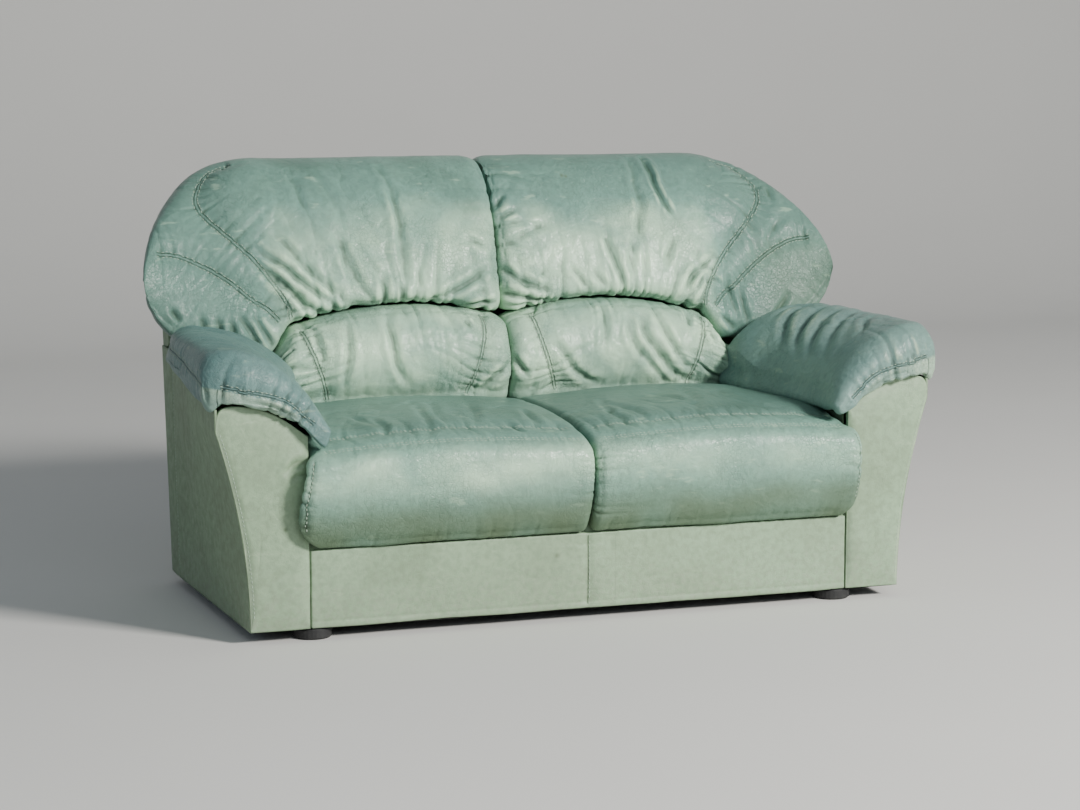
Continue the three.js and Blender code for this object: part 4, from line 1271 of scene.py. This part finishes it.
def shared_group(name, inputs, outputs, build):
    """A node group made once: inputs and outputs are (name, socket type, default), and build fills it in."""
    if name in bpy.data.node_groups:
        return bpy.data.node_groups[name]
    group = bpy.data.node_groups.new(name, "ShaderNodeTree")
    for way, sockets in (("INPUT", inputs), ("OUTPUT", outputs)):
        for socket_name, kind, default in sockets:
            socket = group.interface.new_socket(socket_name, in_out=way, socket_type=kind)
            if default is not None:
                socket.default_value = default
    entry = group.nodes.new("NodeGroupInput")
    leave = group.nodes.new("NodeGroupOutput")
    build(group, entry.outputs, leave.inputs)
    return group


def use_group(tree, group, **values):
    """A shared group placed in a material with its own values; gives its outputs."""
    node = tree.nodes.new("ShaderNodeGroup")
    node.node_tree = group
    for key, value in values.items():
        feed(tree, value, node.inputs[key])
    return node.outputs


def hide_grain():
    """Leather grain: pebbles between fine cell edges, and a wider net of wear cracks in patches."""
    def build(g, i, o):
        soft = put(g, "ShaderNodeTexNoise", Vector=i["Vector"], Scale=45.0, Detail=2.0)
        small = put(g, "ShaderNodeVectorMath", operation="SCALE", Scale=0.012)
        g.links.new(soft.outputs["Color"], small.inputs[0])
        bent = put(g, "ShaderNodeVectorMath", operation="ADD")
        g.links.new(i["Vector"], bent.inputs[0])
        g.links.new(small.outputs[0], bent.inputs[1])
        pebble = remap(g, cells(g, bent.outputs[0], i["Pebbles"]), 0.0, 0.14)
        net = remap(g, cells(g, bent.outputs[0], i["Net"]), 0.0, 0.10)
        patch = remap(g, noise(g, i["Vector"], 7.0, 4.0), 0.42, 0.62)
        crack = calc(g, "MULTIPLY", calc(g, "SUBTRACT", 1.0, net), patch)
        fine = noise(g, i["Vector"], 160.0, 5.0)
        height = calc(g, "ADD", calc(g, "MULTIPLY", pebble, 0.30), calc(g, "MULTIPLY", fine, 0.35))
        feed(g, calc(g, "SUBTRACT", height, calc(g, "MULTIPLY", crack, 0.55)), o["Height"])
        feed(g, crack, o["Cracks"])
    return shared_group(
        "hide_grain",
        [("Vector", VECTOR, None), ("Pebbles", FLOAT, 420.0), ("Net", FLOAT, 70.0)],
        [("Height", FLOAT, None), ("Cracks", FLOAT, None)], build)


def hide_wear():
    """Wear and painted light: raised places and pale places are lightened, partly polish and partly painted
    highlight, and hollows and the lines beside seams are darkened, partly grime and partly painted shade.

    Where the paleness is below zero the hide is darkened, partly deep dye and partly painted shade.
    """
    def build(g, i, o):
        patch = noise(g, i["Vector"], 9.0, 5.0, 0.6)
        fleck = noise(g, i["Vector"], 48.0, 4.0)
        # Raised relief is lightened: wear polish with a painted highlight on the ridges.
        ridge = remap(g, i["Relief"], 0.5, 3.4)
        polish_and_highlight = calc(g, "ADD", calc(g, "MULTIPLY", ridge, 0.6), i["Pale"])
        polish_and_highlight = calc(g, "MULTIPLY", polish_and_highlight, remap(g, patch, 0.25, 0.7, 0.35, 1.15))
        feed(g, calc(g, "MULTIPLY", polish_and_highlight, i["Amount"], True), o["Polish and highlight"])
        # Paleness below zero darkens: deep dye with painted shade.
        dye_and_shade = calc(g, "MULTIPLY", i["Pale"], -1.0, True)
        feed(g, calc(g, "MULTIPLY", dye_and_shade, remap(g, patch, 0.2, 0.8, 1.0, 0.6)), o["Dye and shade"])
        # Hollows and seam grooves are darkened: painted shade with grime.
        hollow = remap(g, calc(g, "MULTIPLY", i["Relief"], -1.0), 0.4, 3.2)
        grime_and_shade = calc(g, "MAXIMUM", hollow, remap(g, calc(g, "ABSOLUTE", i["Seam"]), 1.9, 0.5))
        grime_and_shade = calc(g, "MULTIPLY", grime_and_shade, remap(g, fleck, 0.3, 0.7, 0.6, 1.1))
        feed(g, calc(g, "MULTIPLY", grime_and_shade, i["Amount"], True), o["Grime and shade"])
    return shared_group(
        "hide_wear",
        [("Vector", VECTOR, None), ("Relief", FLOAT, 0.0), ("Seam", FLOAT, 60.0), ("Pale", FLOAT, 0.0),
         ("Amount", FLOAT, 1.0)],
        [("Polish and highlight", FLOAT, None), ("Grime and shade", FLOAT, None), ("Dye and shade", FLOAT, None)], build)


def stains():
    """Stains and scuffs: thresholded broad noise for blotches, and stretched fine noise for scuffs."""
    def build(g, i, o):
        blotch = remap(g, noise(g, i["Vector"], i["Size"], 6.0, 0.8), 0.52, 0.72)
        drawn = put(g, "ShaderNodeMapping", Vector=i["Vector"], Scale=(18.0, 18.0, 60.0))
        scuff = remap(g, noise(g, drawn.outputs[0], 1.0, 5.0), 0.62, 0.72)
        feed(g, calc(g, "MULTIPLY", blotch, i["Amount"], True), o["Blotches"])
        feed(g, calc(g, "MULTIPLY", scuff, i["Amount"], True), o["Scuffs"])
    return shared_group(
        "stains",
        [("Vector", VECTOR, None), ("Size", FLOAT, 4.0), ("Amount", FLOAT, 1.0)],
        [("Blotches", FLOAT, None), ("Scuffs", FLOAT, None)], build)


def dust():
    """Dust: fine noise that gathers towards the floor."""
    def build(g, i, o):
        split = put(g, "ShaderNodeSeparateXYZ", Vector=i["Vector"])
        low = remap(g, split.outputs["Z"], i["Top"], 0.0)
        speck = remap(g, noise(g, i["Vector"], 90.0, 6.0), 0.35, 0.75)
        feed(g, calc(g, "MULTIPLY", calc(g, "MULTIPLY", low, speck), i["Amount"], True), o["Mask"])
    return shared_group(
        "dust",
        [("Vector", VECTOR, None), ("Top", FLOAT, 0.3), ("Amount", FLOAT, 1.0)],
        [("Mask", FLOAT, None)], build)


def bump(tree, height, distance, after=None):
    """A Bump node of full strength, on top of an earlier normal if one is given."""
    node = tree.nodes.new("ShaderNodeBump")
    node.inputs["Distance"].default_value = distance
    node.inputs["Strength"].default_value = 1.0
    tree.links.new(height, node.inputs["Height"])
    if after is not None:
        tree.links.new(after, node.inputs["Normal"])
    return node.outputs["Normal"]


def new_material(name):
    """A material with its Principled shader, and Object coordinates to place its patterns."""
    material = bpy.data.materials.new(name)
    material.use_nodes = True
    tree = material.node_tree
    shader = tree.nodes["Principled BSDF"]
    place = tree.nodes.new("ShaderNodeTexCoord").outputs["Object"]
    return material, tree, shader, place


def point_value(tree, name):
    """A value that the mesh holds at its points."""
    node = tree.nodes.new("ShaderNodeAttribute")
    node.attribute_name = name
    return node.outputs["Fac"]


# Colour of soil, also laid on as painted shade.
SOIL_AND_SHADE = (0.108, 0.160, 0.085)
FLOOR_DUST = (0.32, 0.31, 0.27)
SEAM_GROOVE = 0.0025


def finish_material(tree, shader, colour, rough, normal):
    """Links a material's colour, roughness and normal to its shader."""
    tree.links.new(colour, shader.inputs["Base Color"])
    tree.links.new(rough, shader.inputs["Roughness"])
    tree.links.new(normal, shader.inputs["Normal"])


def leather(name, hide, deep, light, grime_and_shade, roughness, wear, grain_depth, crumple_depth, cracks):
    """Worn leather: a mottled hide, lighter where it is polished and where highlights are painted, and darker
    where grime lies and where shade is painted.

    Its bumps are a crumple, the groove at each sewn line, and the grain. Lengths are in metres.
    """
    if name in bpy.data.materials:
        return bpy.data.materials[name]
    material, tree, shader, place = new_material(name)
    relief, seam, pale, soil_and_shade = (point_value(tree, mask) for mask in ("relief", "seam", "pale", "soil_and_shade"))
    grain = use_group(tree, hide_grain(), Vector=place, Pebbles=420.0, Net=110.0)
    worn = use_group(tree, hide_wear(), Vector=place, Relief=relief, Seam=seam, Pale=pale, Amount=wear)
    marks = use_group(tree, stains(), Vector=place, Size=4.5, Amount=wear)
    low = use_group(tree, dust(), Vector=place, Top=0.22, Amount=0.35)
    mottle = remap(tree, noise(tree, place, 3.2, 6.0, 0.5), 0.3, 0.7)
    speck = remap(tree, noise(tree, place, 75.0, 6.0, 0.4), 0.35, 0.68, 0.0, 0.40)

    colour = blend(tree, mottle, rgba(deep), rgba(hide))
    # Darkened where paleness is below zero: deep dye with painted shade on the seat tops, the wings and the
    # pad tops.
    colour = blend(tree, worn["Dye and shade"], colour, times(deep, 0.72))
    colour = blend(tree, speck, colour, times(deep, 0.66))
    colour = blend(tree, calc(tree, "MULTIPLY", marks["Blotches"], 0.30), colour, rgba(grime_and_shade))
    # Lightened: painted highlights on the seat rolls, lumbar middles, lower backs and ridges, with wear
    # polish.
    colour = blend(tree, calc(tree, "MULTIPLY", worn["Polish and highlight"], 0.85), colour, rgba(light))
    colour = blend(tree, calc(tree, "MULTIPLY", grain["Cracks"], cracks), colour, rgba(grime_and_shade))
    # Painted shade in hollows and seam grooves, with grime.
    colour = blend(tree, calc(tree, "MULTIPLY", worn["Grime and shade"], 0.65), colour, rgba(grime_and_shade))
    colour = blend(tree, calc(tree, "MULTIPLY", marks["Scuffs"], 0.22), colour, rgba(light))
    # Soil and marks, with painted shade on the lower seat rolls and the lower right wing.
    colour = blend(tree, soil_and_shade, colour, rgba(SOIL_AND_SHADE))
    colour = blend(tree, low["Mask"], colour, rgba(FLOOR_DUST))

    rough = calc(tree, "ADD", roughness, calc(tree, "MULTIPLY", worn["Grime and shade"], 0.22))
    rough = calc(tree, "ADD", rough, calc(tree, "MULTIPLY", soil_and_shade, 0.25))
    rough = calc(tree, "SUBTRACT", rough, calc(tree, "MULTIPLY", worn["Polish and highlight"], 0.12))
    rough = calc(tree, "ADD", rough, calc(tree, "MULTIPLY", grain["Height"], 0.10), True)

    crumple = noise(tree, place, 26.0, 4.0, 1.2)
    groove = remap(tree, calc(tree, "ABSOLUTE", seam), 0.0, 2.2)
    normal = bump(tree, crumple, crumple_depth)
    normal = bump(tree, groove, SEAM_GROOVE, normal)
    normal = bump(tree, grain["Height"], grain_depth, normal)
    finish_material(tree, shader, colour, rough, normal)
    return material


def cushion_material():
    """The leather of the seats, lumbar cushions and backs: the glossiest, with the palest wear and painted
    highlights.
    """
    return leather(
        "worn_hide", hide=colours().seat_hide, deep=(0.145, 0.28, 0.23), light=(0.66, 0.92, 0.64),
        grime_and_shade=(0.05, 0.10, 0.065), roughness=0.29, wear=1.0, grain_depth=0.0010, crumple_depth=0.0027,
        cracks=0.12)


def pad_material():
    """The darker, bluer leather of the arm pads."""
    return leather(
        "pad_hide", hide=colours().pad_hide, deep=(0.11, 0.215, 0.205), light=(0.50, 0.64, 0.44),
        grime_and_shade=(0.045, 0.085, 0.07), roughness=0.30, wear=1.0, grain_depth=0.0010, crumple_depth=0.0038,
        cracks=0.10)


def panel_material():
    """The smoother and flatter cover of the arms, skirt and rear."""
    return leather(
        "panel_cover", hide=colours().panel_hide, deep=(0.235, 0.33, 0.21), light=(0.46, 0.56, 0.39),
        grime_and_shade=(0.11, 0.15, 0.085), roughness=0.42, wear=0.7, grain_depth=0.0003, crumple_depth=0.0010,
        cracks=0.0)


def thread_material():
    """Waxed thread: flecks of a darker tone."""
    if "thread" in bpy.data.materials:
        return bpy.data.materials["thread"]
    material, tree, shader, place = new_material("thread")
    fleck = noise(tree, place, 300.0, 3.0)
    tone = colours().thread
    colour = blend(tree, remap(tree, fleck, 0.3, 0.7), times(tone, 0.7), rgba(tone))
    rough = remap(tree, fleck, 0.2, 0.8, 0.6, 0.85)
    finish_material(tree, shader, colour, rough, bump(tree, fleck, 0.0002))
    return material


def wood_material():
    """Sawn softwood: rings of a stretched wave, with fine darker fibres."""
    material, tree, shader, place = new_material("frame_wood")
    drawn = put(tree, "ShaderNodeMapping", Vector=place, Scale=(2.0, 9.0, 9.0)).outputs[0]
    rings = put(
        tree, "ShaderNodeTexWave", wave_type="RINGS", Vector=drawn, Scale=3.0, Distortion=5.0, Detail=3.0)
    fibre = noise(tree, drawn, 60.0, 5.0)
    colour = blend(tree, rings.outputs["Fac"], rgba((0.36, 0.22, 0.10)), rgba((0.52, 0.36, 0.19)))
    colour = blend(tree, remap(tree, fibre, 0.35, 0.75, 0.0, 0.4), colour, rgba((0.22, 0.13, 0.06)))
    rough = remap(tree, fibre, 0.2, 0.8, 0.65, 0.9)
    finish_material(tree, shader, colour, rough, bump(tree, fibre, 0.0008))
    return material


def steel_material(name, tone, rough):
    """Drawn or plated steel with a grey mottle and faint rust."""
    material, tree, shader, place = new_material(name)
    patch = noise(tree, place, 60.0, 6.0)
    rust = remap(tree, noise(tree, place, 25.0, 5.0), 0.58, 0.75)
    colour = blend(tree, remap(tree, patch, 0.3, 0.7), times(tone, 0.75), rgba(tone))
    colour = blend(tree, calc(tree, "MULTIPLY", rust, 0.5), colour, rgba((0.16, 0.07, 0.03)))
    tree.links.new(remap(tree, rust, 0.0, 1.0, 1.0, 0.4), shader.inputs["Metallic"])
    dulled = remap(tree, patch, 0.3, 0.7, rough, rough + 0.2)
    finish_material(tree, shader, colour, dulled, bump(tree, patch, 0.0002))
    return material


def cloth_material(name, dark, light, threads):
    """Woven cloth or tape: two crossed waves for the weave, with lint and dust."""
    material, tree, shader, place = new_material(name)
    warp, weft = (
        put(tree, "ShaderNodeTexWave", bands_direction=way, Vector=place, Scale=threads, Distortion=0.6,
            Detail=1.0)
        for way in ("X", "Z"))
    weave = calc(tree, "MULTIPLY", warp.outputs["Fac"], weft.outputs["Fac"])
    lint = noise(tree, place, 130.0, 5.0)
    colour = blend(tree, weave, rgba(dark), rgba(light))
    colour = blend(tree, remap(tree, lint, 0.55, 0.8, 0.0, 0.5), colour, rgba((0.30, 0.29, 0.26)))
    rough = remap(tree, lint, 0.2, 0.8, 0.8, 0.98)
    finish_material(tree, shader, colour, rough, bump(tree, weave, 0.0006))
    return material


def foot_material():
    """Moulded black plastic, scratched and dusty near the floor."""
    material, tree, shader, place = new_material("foot_plastic")
    speck = noise(tree, place, 220.0, 5.0)
    scratch = use_group(tree, stains(), Vector=place, Size=30.0, Amount=1.0)
    low = use_group(tree, dust(), Vector=place, Top=0.03, Amount=0.25)
    colour = blend(tree, speck, rgba((0.008, 0.008, 0.009)), rgba((0.02, 0.02, 0.022)))
    colour = blend(tree, calc(tree, "MULTIPLY", scratch["Scuffs"], 0.4), colour, rgba((0.10, 0.10, 0.10)))
    colour = blend(tree, low["Mask"], colour, rgba((0.07, 0.07, 0.06)))
    rough = remap(tree, speck, 0.2, 0.8, 0.6, 0.8)
    finish_material(tree, shader, colour, rough, bump(tree, speck, 0.0002))
    return material


# ---- Stage ----
CAMERA_AIM = (-0.0645, -0.2886, 0.4452)
CAMERA_AZIMUTH = -18.99
CAMERA_ELEVATION = 8.0
CAMERA_LENS = 83.7
LAMP_AIM = (0.0, 0.0, 0.5)
WORLD_COLOUR, WORLD_STRENGTH = (0.82, 0.92, 1.0), 0.25
FLOOR_FRONT, BEND_START, BEND_RADIUS, WALL_TOP, FLOOR_HALF = -9.0, 4.5, 2.5, 7.0, 14.0


def area_light(name, place, width, height, power, colour):
    """A rectangular lamp aimed at the middle of the sofa."""
    light = bpy.data.lights.new(name, "AREA")
    light.shape = "RECTANGLE"
    light.size, light.size_y = width, height
    light.energy = power
    light.color = colour
    obj = bpy.data.objects.new(name, light)
    obj.location = place
    obj.rotation_euler = (Vector(LAMP_AIM) - Vector(place)).to_track_quat("-Z", "Y").to_euler()
    bpy.context.scene.collection.objects.link(obj)


def build_floor():
    """A floor that bends up through a quarter circle into a wall far behind."""
    turn = np.linspace(0, np.pi / 2, 24)
    bend_y = BEND_START + BEND_RADIUS * np.sin(turn)
    bend_z = BEND_RADIUS - BEND_RADIUS * np.cos(turn)
    wall = [BEND_START + BEND_RADIUS, WALL_TOP]
    profile = np.vstack([[FLOOR_FRONT, 0.0], np.column_stack([bend_y, bend_z]), wall])
    across = np.array([-FLOOR_HALF, FLOOR_HALF])
    grid = np.stack(np.broadcast_arrays(across[None], profile[:, :1], profile[:, 1:]), axis=-1)
    index = np.arange(grid.shape[0] * 2).reshape(-1, 2)
    quads = np.stack([index[:-1, 0], index[:-1, 1], index[1:, 1], index[1:, 0]], axis=-1)
    obj = mesh_object("floor", grid.reshape(-1, 3), quads, {})
    material, tree, shader, place = new_material("stage_paper")
    tone = noise(tree, place, 1.5, 2.0)
    colour = blend(tree, tone, rgba((0.64, 0.63, 0.61)), rgba((0.67, 0.66, 0.64)))
    tree.links.new(colour, shader.inputs["Base Color"])
    shader.inputs["Roughness"].default_value = 0.85
    obj.data.materials.append(material)


def build_lights():
    """A pale world, a warm key lamp from the front right, a weak blue one from the left and a soft fill."""
    world = bpy.data.worlds.new("studio")
    world.use_nodes = True
    background = world.node_tree.nodes["Background"]
    background.inputs["Color"].default_value = rgba(WORLD_COLOUR)
    background.inputs["Strength"].default_value = WORLD_STRENGTH
    bpy.context.scene.world = world
    area_light("key", (4.2, -6.1, 4.2), 1.7, 1.3, 1150, (1.0, 0.98, 0.93))
    area_light("sky", (-5.2, -1.2, 2.6), 2.4, 2.0, 14, (0.55, 0.78, 1.0))
    area_light("fill", (-0.6, -6.4, 3.2), 3.0, 2.0, 60, (0.92, 0.97, 1.0))


def build_camera():
    """The camera, turned about the sofa and raised by two angles, at the distance set in the scene."""
    turn, rise = math.radians(CAMERA_AZIMUTH), math.radians(CAMERA_ELEVATION)
    away = Vector((math.sin(turn) * math.cos(rise), -math.cos(turn) * math.cos(rise), math.sin(rise)))
    camera = bpy.data.objects.new("camera", bpy.data.cameras.new("camera"))
    camera.data.lens = CAMERA_LENS
    camera.location = Vector(CAMERA_AIM) + away * sizes().camera_distance
    camera.rotation_euler = (-away).to_track_quat("-Z", "Y").to_euler()
    bpy.context.scene.collection.objects.link(camera)
    bpy.context.scene.camera = camera


def dress_frame():
    """Gives every frame node that is still shown its finish: timber, steel, webbing, cloth and plastic."""
    wood = wood_material()
    finishes = {
        "frame_wood": wood,
        "spring_steel": steel_material("spring_steel", (0.33, 0.34, 0.35), 0.32),
        "webbing": cloth_material("webbing_tape", (0.20, 0.19, 0.17), (0.36, 0.35, 0.31), 240.0),
        "dust_cloth": cloth_material("dust_cloth", (0.010, 0.010, 0.011), (0.028, 0.028, 0.030), 420.0),
        "foot_plastic": foot_material(),
        "screw_steel": steel_material("screw_steel", (0.55, 0.56, 0.57), 0.25),
        "panel_vinyl": panel_material(),
        "cushion_leather": cushion_material(),
        "pad_leather": pad_material(),
    }
    slots = {part["node"]: part["material_slot"] for part in frame["record"]["subparts"]}
    for name, obj in frame["nodes"].items():
        obj.data.materials.clear()
        obj.data.materials.append(finishes[slots[name]])


# ---- Operators and panel ----
def on_both_sides(build):
    """Builds a piece on the left and on the right."""
    for side_name, side in SIDES:
        build(side_name, side)


class SOFA_OT_frame(bpy.types.Operator):
    """Gives the timber, springs, webbing, feet and screws their finishes"""

    bl_idname = "sofa.frame"
    bl_label = "Finish the frame"
    bl_options = {"REGISTER", "UNDO"}

    def execute(self, context):
        dress_frame()
        return {"FINISHED"}


class SOFA_OT_backs(bpy.types.Operator):
    """Builds the two back cushions with their wings and seams"""

    bl_idname = "sofa.backs"
    bl_label = "Back cushions"
    bl_options = {"REGISTER", "UNDO"}

    def execute(self, context):
        on_both_sides(build_back)
        return {"FINISHED"}


class SOFA_OT_lumbars(bpy.types.Operator):
    """Builds the two lumbar cushions with their sewn channels"""

    bl_idname = "sofa.lumbars"
    bl_label = "Lumbar cushions"
    bl_options = {"REGISTER", "UNDO"}

    def execute(self, context):
        on_both_sides(build_lumbar)
        return {"FINISHED"}


class SOFA_OT_seats(bpy.types.Operator):
    """Builds the two seat cushions with their front rolls"""

    bl_idname = "sofa.seats"
    bl_label = "Seat cushions"
    bl_options = {"REGISTER", "UNDO"}

    def execute(self, context):
        on_both_sides(build_seat)
        return {"FINISHED"}


class SOFA_OT_pads(bpy.types.Operator):
    """Builds the two arm pads with their gathered front seams"""

    bl_idname = "sofa.pads"
    bl_label = "Arm pads"
    bl_options = {"REGISTER", "UNDO"}

    def execute(self, context):
        on_both_sides(build_pad)
        return {"FINISHED"}


class SOFA_OT_arm_covers(bpy.types.Operator):
    """Builds the fronts and sides of the arms and the strips behind them"""

    bl_idname = "sofa.arm_covers"
    bl_label = "Arm covers"
    bl_options = {"REGISTER", "UNDO"}

    def execute(self, context):
        on_both_sides(build_arm_front)
        on_both_sides(build_arm_side)
        on_both_sides(build_strip)
        return {"FINISHED"}


class SOFA_OT_skirt(bpy.types.Operator):
    """Builds the skirt under the seats"""

    bl_idname = "sofa.skirt"
    bl_label = "Skirt"
    bl_options = {"REGISTER", "UNDO"}

    def execute(self, context):
        build_apron()
        return {"FINISHED"}


class SOFA_OT_rear_cover(bpy.types.Operator):
    """Builds the cover across the back"""

    bl_idname = "sofa.rear_cover"
    bl_label = "Rear cover"
    bl_options = {"REGISTER", "UNDO"}

    def execute(self, context):
        build_rear_cover()
        return {"FINISHED"}


class SOFA_OT_stage(bpy.types.Operator):
    """Sets up the floor, the lights and the camera"""

    bl_idname = "sofa.stage"
    bl_label = "Stage"
    bl_options = {"REGISTER", "UNDO"}

    def execute(self, context):
        build_floor()
        build_lights()
        build_camera()
        return {"FINISHED"}


OPERATORS = (
    SOFA_OT_frame,
    SOFA_OT_backs,
    SOFA_OT_lumbars,
    SOFA_OT_seats,
    SOFA_OT_pads,
    SOFA_OT_arm_covers,
    SOFA_OT_skirt,
    SOFA_OT_rear_cover,
    SOFA_OT_stage,
)


class SOFA_PT_panel(bpy.types.Panel):
    """Lists the sofa's sizes, colours and build steps"""

    bl_label = "Worn leather sofa"
    bl_idname = "SOFA_PT_panel"
    bl_space_type = "VIEW_3D"
    bl_region_type = "UI"
    bl_category = "Sofa"

    def draw(self, context):
        for group in (context.scene.sofa_sizes, context.scene.sofa_colours):
            for name in group.__annotations__:
                self.layout.prop(group, name)
        for operator in OPERATORS:
            self.layout.operator(operator.bl_idname)


CLASSES = (SofaSizes, SofaColours, *OPERATORS, SOFA_PT_panel)


def register():
    """Registers the classes and adds the two groups of settings to the scene."""
    for item in CLASSES:
        bpy.utils.register_class(item)
    bpy.types.Scene.sofa_sizes = bpy.props.PointerProperty(type=SofaSizes)
    bpy.types.Scene.sofa_colours = bpy.props.PointerProperty(type=SofaColours)


def unregister():
    """Takes the settings and the classes out again."""
    del bpy.types.Scene.sofa_sizes
    del bpy.types.Scene.sofa_colours
    for item in reversed(CLASSES):
        bpy.utils.unregister_class(item)


def main():
    register()
    for operator in OPERATORS:
        group, step = operator.bl_idname.split(".")
        getattr(getattr(bpy.ops, group), step)()


if __name__ == "__main__":
    main()
